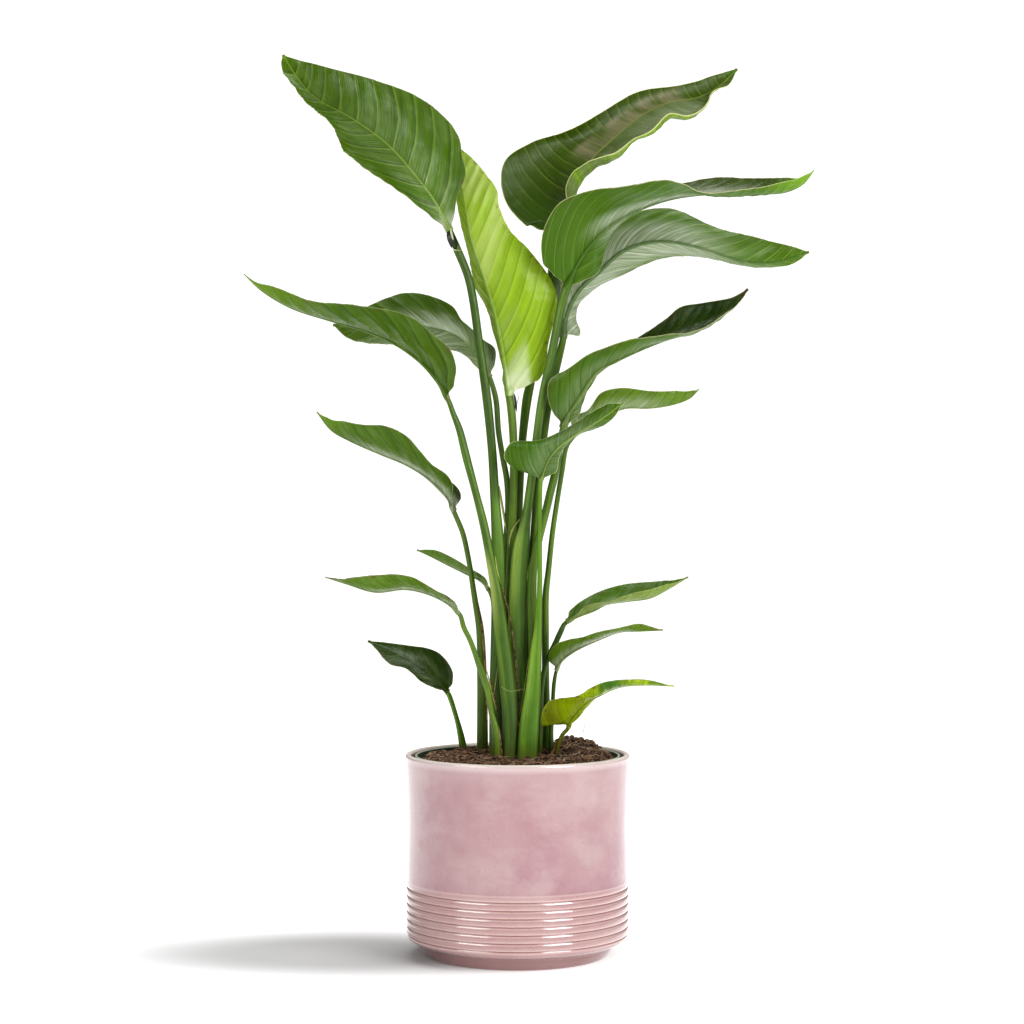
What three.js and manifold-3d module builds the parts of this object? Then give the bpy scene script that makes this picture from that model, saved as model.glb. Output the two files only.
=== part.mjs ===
// A potted bird of paradise: a glazed ceramic planter, a plastic growing pot, its soil,
// and 17 leaves, each a blade on a stalk. Millimetres, +Z up, origin under the planter.
import * as THREE from "three";
import { mergeVertices } from "three/addons/utils/BufferGeometryUtils.js";
import Module from "manifold-3d";

const wasm = await Module();
wasm.setup();

// Driving dimensions of the planter
const PLANTER_HEIGHT = 200;
const PLANTER_WALL = 6;
const FOOT_R = 88;
const FOOT_WALL_R = 95.5;
const BAND_R = 111.5;
const WAIST_R = 109.7;
const RIM_R = 112;
const GROOVE_COUNT = 7;
const GROOVE_FIRST_Z = 21.8;
const GROOVE_PITCH = 7.8;
const GROOVE_DEPTH = 1.3;
const GROOVE_HALF = 1.1;
const GROOVE_EDGE_DROP = 0.4;
const FLOOR_Z = 9;

// Driving dimensions of the growing pot and its soil
const POT_RIM_R = 102.5;
const POT_TOP_Z = 198.5;
const POT_LIP_Z = 190;
const POT_MOUTH_R = 99;
const POT_BASE_R = 78;
const POT_WALL = 1.4;
const POT_LIP_WALL = 2.2;
const DRAIN_HOLES = 6;
const DRAIN_R = 7;
const DRAIN_CIRCLE_R = 52;
const SOIL_Z = 196;
const SOIL_MOUND = 14;
const SOIL_MOUND_X = 57;
const SOIL_MOUND_Y = 38;
const SOIL_MOUND_R = 30;
const SOIL_EDGE_DROP = 3;
const SOIL_EDGE_SHARE = 0.9;
const SOIL_RINGS = [0.995, 0.8, 0.6, 0.4, 0.2, 0];
const SOIL_ROLL = 1.2;
const SOIL_BUMP = 0.8;
const STALK_FOOT_Z = 160;

// Clearance between pieces that touch
const GAP = 0.3;
const HOLE_GAP = 0.4;

// Colours of the pieces that aren't blades
const PLANTER_COLOUR = 0xc9909f;
const POT_COLOUR = 0x2c3a2c;
const SOIL_COLOUR = 0x3a2a20;
const STALK_COLOUR = 0x5d8a4a;

// Driving dimensions of the leaves
const BLADE_THICKNESS = 0.9;
const BLADE_END_HALF = 1.6;
const MIDRIB_STEP = 0.01;
const STALK_SIDES = 8;
const PLANTER_SEGMENTS = 36;
const POT_SEGMENTS = 28;
const SHEATH_THICKNESS = 8.5;

// Shares that shape a leaf: how even the rows are, how far the rows by the ends open, the
// blade's half width on the stalk and the stalk's drop under it as shares of the stalk's
// width, how much the stalk's top turns away from the midrib's line, and the midrib's half
// width and height, as a least size plus a share of the stalk's width
const EVEN_ROWS = 0.55;
const END_OPENING = 0.7;
const STALK_TOP_SHARE = 0.62;
const STALK_DROP_SHARE = 0.36;
const STALK_TURN_SHARE = 0.6;
const RIB_HALF_LEAST = 0.7;
const RIB_HALF_SHARE = 0.22;
const RIB_HEIGHT_LEAST = 0.3;
const RIB_HEIGHT_SHARE = 0.42;

// The front elevation is drawn as one looks at the plant: an eye at this height and
// distance, a little left of the planter's axis. A place on it is in mm, to the right
// and down from the sheet's upper left corner, true to size at the planter's axis.
const EYE_HEIGHT = 441;
const EYE_DISTANCE = 2250;
const EYE_SIDE = -5.5;
const SHEET_AXIS = 517.5;
const SHEET_GROUND = 953;

// A place on the elevation, carried along its line of sight to a depth behind the axis.
function seen(x, y, depth) {
  const k = 1 + depth / EYE_DISTANCE;
  const across = EYE_SIDE + (x - SHEET_AXIS - EYE_SIDE) * k;
  const up = EYE_HEIGHT + (SHEET_GROUND - y - EYE_HEIGHT) * k;
  return new THREE.Vector3(across, depth, up);
}

// The leaves. rib, left and right are lines on the front elevation from the blade's base
// to its tip: the midrib and the two margins, left and right as on the upper face with
// the tip away. depth is the midrib's depth at the base, each quarter and the tip, and
// leftDepth and rightDepth are the margins' depths beyond it. cup is the bulge of each
// half to the underside, as a share of its width. A pace under 1 runs a margin ahead of
// the midrib. stalk goes from the blade down to the soil, as [x, y, depth, width].
const LEAVES = [
  {
    name: "top_left",
    colour: 0x4f8a3a,
    rib: [[450, 231], [437, 205], [418, 179], [389, 146], [354, 120], [314, 97], [296, 76], [283, 55]],
    left: [
      [450, 231], [431, 216], [404, 195], [376, 175], [354, 160], [344, 151], [334, 128],
      [315, 109], [300, 95], [287, 76], [281, 61], [283, 55],
    ],
    right: [
      [450, 231], [453, 222], [457, 198], [466, 176], [462, 155], [457, 134], [441, 113],
      [410, 93], [375, 80], [326, 67], [290, 57], [283, 55],
    ],
    depth: [-8, -12, -2, 28, 62],
    leftDepth: [0, -30, -42, -30, 0],
    rightDepth: [0, -10, -18, -12, 0],
    cup: 0.08,
    rows: 13,
    stalk: [
      [450, 231, -8, 7], [457, 249, -8, 8], [469, 280, -7, 8], [480, 350, -5, 8.5],
      [487, 400, -4, 9], [492, 450, -2, 8.5], [495, 500, 0, 9.5], [498, 550, 2, 13],
      [498, 620, 2, 14], [496, 690, 2, 13], [495, 760, 2, 12],
    ],
  },
  {
    name: "top_centre",
    colour: 0x86b93a,
    rib: [
      [510, 396], [504, 356], [496, 317], [484, 277], [472, 242], [465, 205], [460, 172], [458, 146],
    ],
    left: [
      [510, 396], [529, 388], [543, 373], [549, 341], [557, 300], [553, 283], [530, 252],
      [509, 228], [499, 206], [497, 190], [487, 175], [472, 158], [458, 146],
    ],
    right: [
      [510, 396], [505.5, 389], [502.5, 373], [496, 337], [488, 309], [476, 287], [469, 250],
      [461, 218], [457, 203], [457, 175], [458, 146],
    ],
    depth: [10, 8, 6, 14, 25],
    leftDepth: [0, 3, 4, 3, 0],
    rightDepth: [0, 30, 46, 34, 0],
    cup: 0.08,
    rows: 13,
    stalk: [
      [510, 396, 8, 8], [511.5, 411, 8, 8.3], [513.5, 440, 8, 8], [513.5, 500, 9, 8],
      [511, 560, 12, 9], [508, 650, 14, 10], [506, 760, 14, 10],
    ],
  },
  {
    name: "mid_left",
    colour: 0x3f7a33,
    rib: [
      [449, 398], [440, 384], [423, 364], [397, 345], [366, 331], [328, 320], [291, 308],
      [262, 291], [244, 274],
    ],
    left: [
      [449, 398], [456, 386], [457, 373], [451, 351], [437, 337], [414, 319], [384, 309],
      [347, 305], [310, 300], [269, 285], [253, 280], [244, 274],
    ],
    right: [
      [449, 398], [452, 382], [441, 355], [414, 332], [384, 319], [347, 312], [310, 305],
      [275, 292], [244, 274],
    ],
    depth: [-15, -38, -66, -88, -100],
    leftDepth: [0, -22, -30, -22, 0],
    rightDepth: [0, 20, 28, 20, 0],
    cup: 0.1,
    rows: 12,
    stalk: [
      [449, 399, -15, 5], [453, 413, -15, 5.5], [459.5, 430, -15, 7], [466, 456, -15, 8],
      [476, 494, -15, 7.5], [484, 526, -15, 8.5], [490, 557, -15, 9], [496, 590, -15, 11],
      [501, 630, -15, 14], [507, 680, -16, 16], [510, 720, -18, 15], [509, 765, -20, 11],
    ],
  },
  {
    name: "mid_left_rear",
    colour: 0x447d38,
    rib: [
      [490, 377], [476, 355], [459, 337], [440, 329], [410, 325], [380, 326], [352, 327], [333, 325],
    ],
    left: [
      [490, 377], [478, 368], [459, 352], [433, 346], [412, 347], [394, 345], [369, 344],
      [343, 335], [333, 325],
    ],
    right: [
      [490, 377], [494, 369], [495, 349], [484, 340], [472, 329], [462, 321], [453, 307],
      [431, 296], [407, 293], [381, 300], [355, 313], [333, 325],
    ],
    depth: [13, 26, 50, 72, 88],
    leftDepth: [0, -10, -18, -14, 0],
    rightDepth: [0, 12, 24, 16, 0],
    cup: 0.08,
    rows: 11,
    stalk: [
      [490, 377, 13, 5], [496, 400, 13, 5.5], [498.5, 431, 13, 5.5], [502.5, 456, 14, 5.5],
      [507, 481, 17, 6], [508, 510, 20, 6], [505, 560, 22, 7], [502, 650, 24, 8], [500, 760, 25, 8],
    ],
  },
  {
    name: "low_left",
    colour: 0x3f7a33,
    rib: [
      [455, 511], [449, 499], [439, 488], [424, 475], [405, 464], [380, 454], [350, 441], [331, 430],
      [317, 412],
    ],
    left: [
      [455, 511], [455, 497], [454, 488], [447, 475], [431, 463], [417, 448], [406, 436],
      [385, 426], [363, 425], [337, 419], [317, 412],
    ],
    right: [
      [455, 511], [461, 504], [462, 496], [456, 486], [440, 474], [418, 457], [398, 443],
      [370, 434], [340, 425], [317, 412],
    ],
    depth: [30, 14, -8, -28, -42],
    leftDepth: [0, -16, -24, -16, 0],
    rightDepth: [0, 16, 24, 16, 0],
    cup: 0.1,
    rows: 10,
    stalk: [
      [455, 511, 30, 5], [462.7, 533, 32, 5.3], [468.7, 560, 34, 5.3], [475, 600, 38, 6],
      [480, 630, 41, 8], [482, 680, 43, 10], [482, 755, 45, 11],
    ],
  },
  {
    name: "inner_left",
    colour: 0x5b9440,
    rib: [[490, 589], [480, 580], [465, 573], [448, 565], [432, 557], [417, 550]],
    left: [[490, 589], [487, 579], [475, 572], [459, 562], [441, 552], [428, 549], [417, 550]],
    right: [[490, 589], [484, 577], [470, 569], [455, 562], [438, 554], [417, 550]],
    depth: [16, 54, 66, 72, 78],
    leftDepth: [0, -8, -11, -7, 0],
    rightDepth: [0, 8, 11, 7, 0],
    cup: 0.12,
    rows: 8,
    stalk: [[490, 589, 13, 4], [493, 602, 14, 4.5], [494, 650, 15, 6], [493, 760, 16, 6]],
  },
  {
    name: "lower_left",
    colour: 0x356b2c,
    rib: [[460, 612], [445, 601], [427, 593], [405, 589], [375, 592], [347, 584], [325, 577]],
    left: [
      [460, 612], [459, 605], [443, 595], [429, 587], [413, 578], [395, 574], [373, 576],
      [349, 578], [325, 577],
    ],
    right: [[460, 612], [457, 602], [437, 592], [413, 582], [395, 579], [372, 580], [325, 577]],
    depth: [-26, -46, -68, -88, -100],
    leftDepth: [0, -14, -18, -12, 0],
    rightDepth: [0, 12, 16, 12, 0],
    cup: 0.1,
    rows: 9,
    stalk: [
      [460, 612, -26, 4.5], [463.7, 627, -25, 5], [470, 640, -24, 5], [475, 653, -24, 5.3],
      [480, 667, -23, 6.5], [484.7, 680, -22, 6.7], [488.3, 693, -22, 6], [491.7, 713, -21, 6],
      [496.3, 733, -21, 8], [497, 760, -20, 9],
    ],
  },
  {
    name: "lowest_left",
    colour: 0x2f6a28,
    rib: [[448, 692], [437, 680], [425, 670], [409, 660], [391, 651], [368, 641]],
    left: [
      [448, 692], [443, 690], [433, 686], [419, 679], [403, 667], [390, 661], [379, 650], [368, 641],
    ],
    right: [
      [448, 692], [453, 685], [452, 670], [440, 654], [427, 648], [408, 645], [389, 643], [368, 641],
    ],
    depth: [68, 74, 82, 90, 96],
    leftDepth: [0, -12, -18, -10, 0],
    rightDepth: [0, 8, 14, 8, 0],
    cup: 0.08,
    rows: 9,
    stalk: [[448, 692, 68, 5], [457, 720, 69, 5], [461.7, 740, 70, 7.3], [464, 757, 70, 8.5]],
  },
  {
    name: "top_right_rear",
    colour: 0x4a6f35,
    rib: [
      [557, 232], [568, 203], [577, 183], [594, 157], [618, 135], [646, 113], [672, 102],
      [700, 97], [722, 84], [737, 69],
    ],
    left: [
      [557, 232], [550, 238], [541, 237], [521, 222], [507, 204], [501, 180], [506, 159],
      [530, 143], [559, 134], [597, 115], [637, 92], [681, 85], [714, 76], [737, 69],
    ],
    right: [
      [557, 232], [568, 219], [573, 201], [581, 182], [597, 169], [618, 158], [636, 142], [653, 135],
      [671, 119], [688, 121], [707, 106], [713, 93], [729, 83], [737, 69],
    ],
    depth: [44, 60, 84, 108, 128],
    leftDepth: [0, -8, -14, -10, 0],
    rightDepth: [0, -28, -42, -28, 0],
    cup: 0.08,
    rows: 13,
    stalk: [
      [557, 232, 44, 8], [554, 258, 44, 9], [548, 300, 43, 9], [537, 345, 36, 9], [530, 385, 28, 9],
      [527, 400, 25, 9.5], [522.5, 440, 19, 8], [519.5, 490, 17, 8], [518, 540, 19, 8],
      [518, 600, 21, 9], [518, 680, 22, 10], [518, 760, 22, 10],
    ],
  },
  {
    name: "right_upper",
    colour: 0x5d9046,
    rib: [
      [566, 289], [572, 275], [588, 248], [610, 226], [638, 210], [670, 199], [710, 194],
      [760, 194], [786, 192], [803, 184], [814, 170],
    ],
    left: [
      [566, 289], [579, 283], [598, 273], [606, 248], [624, 218], [652, 193], [682, 184],
      [710, 179], [750, 178], [790, 177], [814, 170],
    ],
    right: [
      [566, 289], [553, 278], [544, 266], [542, 236], [552, 212], [562, 201], [588, 191],
      [620, 187], [661, 180], [682, 184], [700, 191], [730, 191], [760, 188], [790, 179], [814, 170],
    ],
    depth: [-3, -12, -28, -46, -64],
    leftDepth: [0, 22, 36, 28, 0],
    rightDepth: [0, -14, -38, -34, 0],
    cup: 0.08,
    rows: 14,
    stalk: [
      [566, 289, -3, 8.5], [562, 303, -3, 9], [552.5, 350, -2, 8.5], [542, 400, -2, 8.5],
      [536.5, 440, -2, 8.3], [530, 490, -2, 8.5], [525.8, 520, -2, 10], [521, 550, -1, 17],
      [518, 600, 0, 19], [517, 660, 0, 19], [518, 720, -1, 18], [519, 765, -2, 16],
    ],
  },
  {
    name: "right_middle",
    colour: 0x6b9c55,
    rib: [
      [563, 338], [566, 318], [578, 292], [598, 273], [622, 252], [646, 243], [670, 242],
      [700, 248], [742, 261], [776, 262], [809, 252],
    ],
    left: [
      [563, 338], [575, 341], [576, 325], [576, 309], [590, 294], [610, 280], [642, 266],
      [670, 256], [694, 256], [722, 260], [750, 267], [777, 266], [799, 260], [809, 252],
    ],
    right: [
      [563, 338], [555, 315], [546, 292], [548, 272], [575, 242], [605, 225], [640, 211],
      [666, 208], [704, 222], [736, 233], [768, 241], [793, 247], [809, 252],
    ],
    depth: [11, 28, 42, 54, 60],
    leftDepth: [0, 16, 32, 24, 0],
    rightDepth: [0, 14, 22, 18, 0],
    cup: 0.08,
    rows: 13,
    stalk: [
      [563, 338, 11, 7], [558, 360, 11, 8], [549, 400, 10, 8], [543, 440, 9, 8], [537, 490, 9, 7],
      [534, 530, 10, 7], [532, 570, 11, 8], [530, 650, 12, 9], [530, 760, 13, 9],
    ],
  },
  {
    name: "right_lower",
    colour: 0x4c8a3c,
    rib: [
      [563, 428], [567, 417], [580, 397], [598, 371], [616, 361], [640, 350], [663, 341],
      [681, 335], [701, 326], [725, 312], [748, 289],
    ],
    left: [
      [563, 428], [577, 417], [584, 395], [600, 368], [625, 347], [647, 333], [668, 317],
      [681, 307], [702, 303], [733, 297], [748, 289],
    ],
    right: [
      [563, 428], [552, 412], [548, 395], [550, 380], [569, 368], [589, 354], [607, 347],
      [634, 338], [661, 336], [688, 333], [717, 320], [740, 303], [748, 289],
    ],
    depth: [-7, -22, -44, -68, -90],
    leftDepth: [0, 20, 32, 24, 0],
    rightDepth: [0, 2, -12, -22, 0],
    cup: 0.12,
    rows: 12,
    stalk: [
      [563, 428, -7, 7], [555, 474, -8, 8], [550, 494, -8, 8], [547, 507, -8, 8], [539, 538, -6, 8],
      [535, 557, -6, 8], [533, 570, -6, 8.5], [532, 600, -6, 9], [533, 660, -5, 9], [534, 760, -4, 8],
    ],
  },
  {
    name: "front_folded",
    colour: 0x5f9a42,
    rib: [[541, 480], [548, 462], [558, 448], [577, 434], [600, 420], [623, 403]],
    left: [[541, 480], [556, 472], [560, 455], [576, 436], [592, 429], [611, 420], [623, 403]],
    right: [
      [541, 480], [525, 476], [509, 468], [504, 457], [511, 443], [540, 440], [565, 430],
      [590, 413], [608, 404], [623, 403],
    ],
    depth: [-18, -34, -48, -58, -64],
    leftDepth: [0, 2, 8, 8, 0],
    rightDepth: [0, 6, 10, 8, 0],
    rightPace: 0.65,
    cup: 0.08,
    rows: 10,
    stalk: [
      [541, 480, -18, 4], [540, 507, -18, 4], [539.7, 545, -18, 4.5], [539.7, 580, -18, 5],
      [538.5, 620, -18, 7], [536, 650, -18, 11], [533, 690, -19, 15], [529, 725, -20, 19],
      [527, 765, -20, 20],
    ],
  },
  {
    name: "rear_folded",
    colour: 0x4c8a3c,
    rib: [
      [575, 434], [588, 424], [608, 414], [626, 408], [650, 408], [675, 404], [690, 398], [699, 389],
    ],
    left: [
      [575, 434], [581, 420], [595, 406], [612, 396], [640, 394], [669, 395], [688, 391], [699, 389],
    ],
    right: [
      [575, 434], [569, 426], [572, 417], [587, 411], [601, 393], [620, 388], [651, 391],
      [671, 391], [699, 389],
    ],
    depth: [14, 12, 14, 20, 28],
    leftDepth: [0, 12, 18, 14, 0],
    rightDepth: [0, -10, -18, -14, 0],
    cup: 0.1,
    rows: 10,
    stalk: [
      [575, 434, 14, 4], [567, 446, 15, 4.5], [562, 472, 16, 5], [557.4, 500, 18, 5],
      [552.6, 532, 20, 5.2], [548.5, 570, 22, 5.7], [545.8, 595, 23, 6.7], [545.4, 630, 24, 7.3],
      [546, 700, 25, 8], [547.5, 740, 25, 12], [547.5, 760, 25, 12],
    ],
  },
  {
    name: "lower_right",
    colour: 0x4f9236,
    rib: [[566, 621], [577, 616], [594, 610], [606, 604], [628, 601], [650, 598], [670, 588], [688, 577]],
    left: [[566, 621], [567, 613], [577, 604], [592, 595], [606, 589], [626, 584], [660, 581], [688, 577]],
    right: [[566, 621], [576, 612], [590, 605], [610, 601], [631, 594], [650, 589], [670, 583], [688, 577]],
    depth: [12, 14, 24, 38, 52],
    leftDepth: [0, 8, 12, 8, 0],
    rightDepth: [0, -12, -16, -10, 0],
    cup: 0.1,
    rows: 9,
    stalk: [
      [566, 621, 12, 4.5], [561, 631, 12, 5.5], [555, 644, 12, 5.5], [548, 658, 12, 5],
      [544, 671, 12, 5], [541, 692, 12, 6], [540, 760, 12, 6.5],
    ],
  },
  {
    name: "small_right",
    colour: 0x4c8a3c,
    rib: [[556, 670], [561, 661], [574, 651], [598, 640], [620, 632], [641, 631], [663, 630]],
    left: [[556, 670], [563, 657], [578, 644], [600, 636], [622, 628], [643, 627], [663, 630]],
    right: [
      [556, 670], [549, 663], [549, 653], [556, 644], [568, 640], [582, 638], [600, 632],
      [618, 628], [640, 624], [663, 630],
    ],
    depth: [11, -4, -24, -42, -56],
    leftDepth: [0, 8, 12, 8, 0],
    rightDepth: [0, -8, -12, -8, 0],
    cup: 0.1,
    rows: 9,
    stalk: [[556, 670, 11, 3.5], [554, 684, 11, 4], [553, 698, 11, 4], [551, 730, 11, 5], [551, 760, 11, 6]],
  },
  {
    name: "lowest_right",
    colour: 0x93b83a,
    rib: [[568, 727], [574, 715], [586, 703], [600, 695], [620, 687], [645, 685], [674, 686]],
    left: [[568, 727], [578, 718], [587, 706], [600, 692], [620, 684], [648, 682], [674, 686]],
    right: [
      [568, 727], [556, 729], [543, 726], [542, 713], [548, 702], [558, 699], [578, 696],
      [590, 688], [604, 682], [625, 680], [650, 681], [674, 686],
    ],
    depth: [-2, -20, -42, -62, -78],
    leftDepth: [0, 10, 16, 10, 0],
    rightDepth: [0, -4, -10, -8, 0],
    cup: 0.1,
    rows: 10,
    stalk: [[568, 727, -2, 3.8], [563, 734, -2, 4], [559, 743, -1, 4.3], [556, 757, 0, 4.5]],
  },
];

const Z_AXIS = new THREE.Vector3(0, 0, 1);

// A line on the elevation through hand-set points, measured along its length.
function lineOf(points) {
  return new THREE.CatmullRomCurve3(
    points.map(([x, y]) => new THREE.Vector3(x, y, 0)),
    false,
    "centripetal",
  );
}

// A smooth value between the numbers of a list, at a share of the way along it.
function along(list, share) {
  const at = Math.min(Math.max(share, 0), 1) * (list.length - 1);
  const i = Math.min(Math.floor(at), list.length - 2);
  const f = at - i;
  const before = list[Math.max(i - 1, 0)];
  const after = list[Math.min(i + 2, list.length - 1)];
  const slope0 = (list[i + 1] - before) / 2;
  const slope1 = (after - list[i]) / 2;
  const f2 = f * f;
  const f3 = f2 * f;
  return (
    (2 * f3 - 3 * f2 + 1) * list[i] +
    (f3 - 2 * f2 + f) * slope0 +
    (3 * f2 - 2 * f3) * list[i + 1] +
    (f3 - f2) * slope1
  );
}

// One closed body from rings of points with the same count, capped flat at both ends.
function loft(rings) {
  const sides = rings[0].length;
  const position = rings.flat().flatMap((p) => [p.x, p.y, p.z]);
  const index = [];
  for (let i = 0; i + 1 < rings.length; i++) {
    for (let j = 0; j < sides; j++) {
      const a = i * sides + j;
      const b = i * sides + ((j + 1) % sides);
      index.push(a, b, b + sides, a, b + sides, a + sides);
    }
  }
  const last = (rings.length - 1) * sides;
  for (let j = 1; j + 1 < sides; j++) {
    index.push(0, j + 1, j, last, last + j, last + j + 1);
  }
  return geometryOf(position, index);
}

function geometryOf(position, index) {
  return new THREE.BufferGeometry()
    .setAttribute("position", new THREE.Float32BufferAttribute(position, 3))
    .setIndex(index);
}

// The blade's middle surface: rows of points from base to tip, each row from the left
// margin over the midrib to the right margin.
function bladeRows(leaf) {
  const rib = lineOf(leaf.rib);
  const sides = [
    { line: lineOf(leaf.left), depths: leaf.leftDepth, turn: 1, pace: 1 },
    { line: lineOf(leaf.right), depths: leaf.rightDepth, turn: -1, pace: leaf.rightPace ?? 1 },
  ];
  const ribAt = (u) => {
    const p = rib.getPointAt(u);
    return seen(p.x, p.y, along(leaf.depth, u));
  };
  const rows = [];
  for (let i = 0; i <= leaf.rows; i++) {
    const even = i / leaf.rows;
    const u = EVEN_ROWS * even + ((1 - EVEN_ROWS) * (1 - Math.cos(Math.PI * even))) / 2;
    const centre = ribAt(u);
    const ahead = ribAt(Math.min(u + MIDRIB_STEP, 1));
    const forward = ahead.sub(ribAt(Math.max(u - MIDRIB_STEP, 0))).normalize();
    const edges = sides.map(({ line, depths, pace }) => {
      const p = line.getPointAt(u ** pace);
      return seen(p.x, p.y, along(leaf.depth, u) + along(depths, u)).sub(centre);
    });
    rows.push({ u, centre, forward, edges });
  }
  squareEnd(rows[0], rows[1], stalkTopHalf(leaf));
  squareEnd(rows[leaf.rows], rows[leaf.rows - 1], BLADE_END_HALF);
  openRow(rows[1], rows[0]);
  openRow(rows[leaf.rows - 1], rows[leaf.rows]);
  return rows.map((row) => {
    const ribHalf = ribHalfAt(leaf, row.u);
    const halves = row.edges.map((edge, k) => {
      const width = edge.length();
      const under = new THREE.Vector3().crossVectors(row.forward, edge).setLength(-sides[k].turn);
      const near = Math.min(ribHalf / width, 0.5);
      return [near, (1 + near) / 2, 1].map((s) =>
        row.centre
          .clone()
          .addScaledVector(edge, s)
          .addScaledVector(under, row.square ? 0 : leaf.cup * width * 4 * s * (1 - s)),
      );
    });
    return { ...row, points: [...halves[0].reverse(), row.centre, ...halves[1]] };
  });
}

// The first and last rows lie square across the midrib, at a set half width.
function squareEnd(row, next, half) {
  const across = next.edges[0].clone().sub(next.edges[1]);
  across.addScaledVector(row.forward, -across.dot(row.forward)).normalize();
  row.edges = [across.clone().multiplyScalar(half), across.clone().multiplyScalar(-half)];
  row.square = true;
}

// The row beside an end opens towards it, so that a folded blade doesn't close on itself.
function openRow(row, end) {
  row.edges = row.edges.map((edge, k) => {
    const length = Math.max(edge.length(), end.edges[k].length());
    const square = end.edges[k].clone().normalize().multiplyScalar(END_OPENING);
    return edge.clone().normalize().add(square).setLength(length);
  });
}

function stalkTopHalf(leaf) {
  return leaf.stalk[0][3] * STALK_TOP_SHARE;
}

function ribHalfAt(leaf, u) {
  return RIB_HALF_LEAST + leaf.stalk[0][3] * RIB_HALF_SHARE * (1 - u);
}

function ribHeightAt(leaf, u) {
  return RIB_HEIGHT_LEAST + leaf.stalk[0][3] * RIB_HEIGHT_SHARE * (1 - u) ** 2;
}

// A blade: the middle surface given its thickness, with the midrib raised on the
// underside. Both faces are split into triangles alike.
function bladeGeometry(leaf) {
  const rows = bladeRows(leaf);
  const columns = rows[0].points.length;
  const middle = (columns - 1) / 2;
  const grid = rows.map((row) => row.points);
  const upper = [];
  const lower = [];
  grid.forEach((points, i) => {
    points.forEach((p, j) => {
      const alongStep = grid[Math.min(i + 1, grid.length - 1)][j].clone().sub(grid[Math.max(i - 1, 0)][j]);
      const acrossStep = points[Math.max(j - 1, 0)].clone().sub(points[Math.min(j + 1, columns - 1)]);
      const normal = new THREE.Vector3().crossVectors(alongStep, acrossStep).normalize();
      if (rows[i].square) {
        normal.crossVectors(rows[i].forward, rows[i].edges[0]).normalize();
      }
      const rise = j === middle ? ribHeightAt(leaf, rows[i].u) : 0;
      upper.push(p.clone().addScaledVector(normal, BLADE_THICKNESS / 2));
      lower.push(p.clone().addScaledVector(normal, -BLADE_THICKNESS / 2 - rise));
    });
  });
  const position = [...upper, ...lower].flatMap((p) => [p.x, p.y, p.z]);
  const index = [];
  const under = upper.length;
  for (let i = 0; i + 1 < grid.length; i++) {
    for (let j = 0; j + 1 < columns; j++) {
      const a = i * columns + j;
      const b = a + 1;
      const c = a + columns + 1;
      const d = a + columns;
      const left = j < middle;
      const faces = left ? [a, b, c, a, c, d] : [a, b, d, b, c, d];
      index.push(...faces);
      for (let k = 0; k < faces.length; k += 3) {
        index.push(under + faces[k], under + faces[k + 2], under + faces[k + 1]);
      }
    }
    const l = i * columns;
    const r = l + columns - 1;
    index.push(l, l + columns, under + l + columns, l, under + l + columns, under + l);
    index.push(r + columns, r, under + r, r + columns, under + r, under + r + columns);
  }
  const t = (grid.length - 1) * columns;
  for (let j = 0; j + 1 < columns; j++) {
    index.push(j + 1, j, under + j, j + 1, under + j, under + j + 1);
    index.push(t + j, t + j + 1, under + t + j + 1, t + j, under + t + j + 1, under + t + j);
  }
  return geometryOf(position, index);
}

// A stalk: an oval section that widens to a sheath, from under the blade's base down into
// the soil. Its top stops square, a gap short of the blade. extra makes a fatter copy.
function stalkGeometry(leaf, extra = 0) {
  const base = bladeRows(leaf)[0];
  const under = new THREE.Vector3().crossVectors(base.edges[0], base.forward).normalize();
  const width = leaf.stalk[0][3];
  const top = base.centre
    .clone()
    .addScaledVector(under, width * STALK_DROP_SHARE)
    .addScaledVector(base.forward, -GAP + extra);
  const route = leaf.stalk.slice(1).map(([x, y, depth]) => seen(x, y, depth));
  const onward = route[0].clone().sub(top).normalize();
  const bend = top
    .clone()
    .addScaledVector(base.forward, -width * (1 - STALK_TURN_SHARE))
    .addScaledVector(onward, width * STALK_TURN_SHARE);
  const last = route[route.length - 1];
  const foot = last.clone().setZ(STALK_FOOT_Z - extra);
  const path = new THREE.CatmullRomCurve3([top, bend, ...route, foot], false, "centripetal");
  const routeWidths = leaf.stalk.slice(1).map((s) => s[3]);
  const widths = [width, width, ...routeWidths, routeWidths[routeWidths.length - 1]];
  const rings = [];
  const count = widths.length - 1;
  for (let i = 0; i <= count; i++) {
    const t = i / count;
    const centre = path.getPoint(t);
    let down = path.getTangent(t);
    if (i === 0) down = base.forward.clone().negate();
    if (i === count) down = Z_AXIS.clone().negate();
    const side = new THREE.Vector3(1, 0, 0);
    side.addScaledVector(down, -side.dot(down)).normalize();
    const back = new THREE.Vector3().crossVectors(down, side);
    const half = widths[i] / 2 + extra;
    const deep = Math.min(widths[i], SHEATH_THICKNESS) / 2 + extra;
    rings.push(ovalRing(centre, side, back, half, deep));
  }
  return loft(rings);
}

function ovalRing(centre, side, back, half, deep) {
  const ring = [];
  for (let j = 0; j < STALK_SIDES; j++) {
    const a = (2 * Math.PI * j) / STALK_SIDES;
    ring.push(
      centre
        .clone()
        .addScaledVector(side, half * Math.cos(a))
        .addScaledVector(back, deep * Math.sin(a)),
    );
  }
  return ring;
}

// A closed profile of [radius, z], turned about +Z.
function turned(profile, segments) {
  const geometry = new THREE.LatheGeometry(
    profile.map(([r, z]) => new THREE.Vector2(r, z)),
    segments,
  );
  return geometry.rotateX(Math.PI / 2);
}

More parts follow.
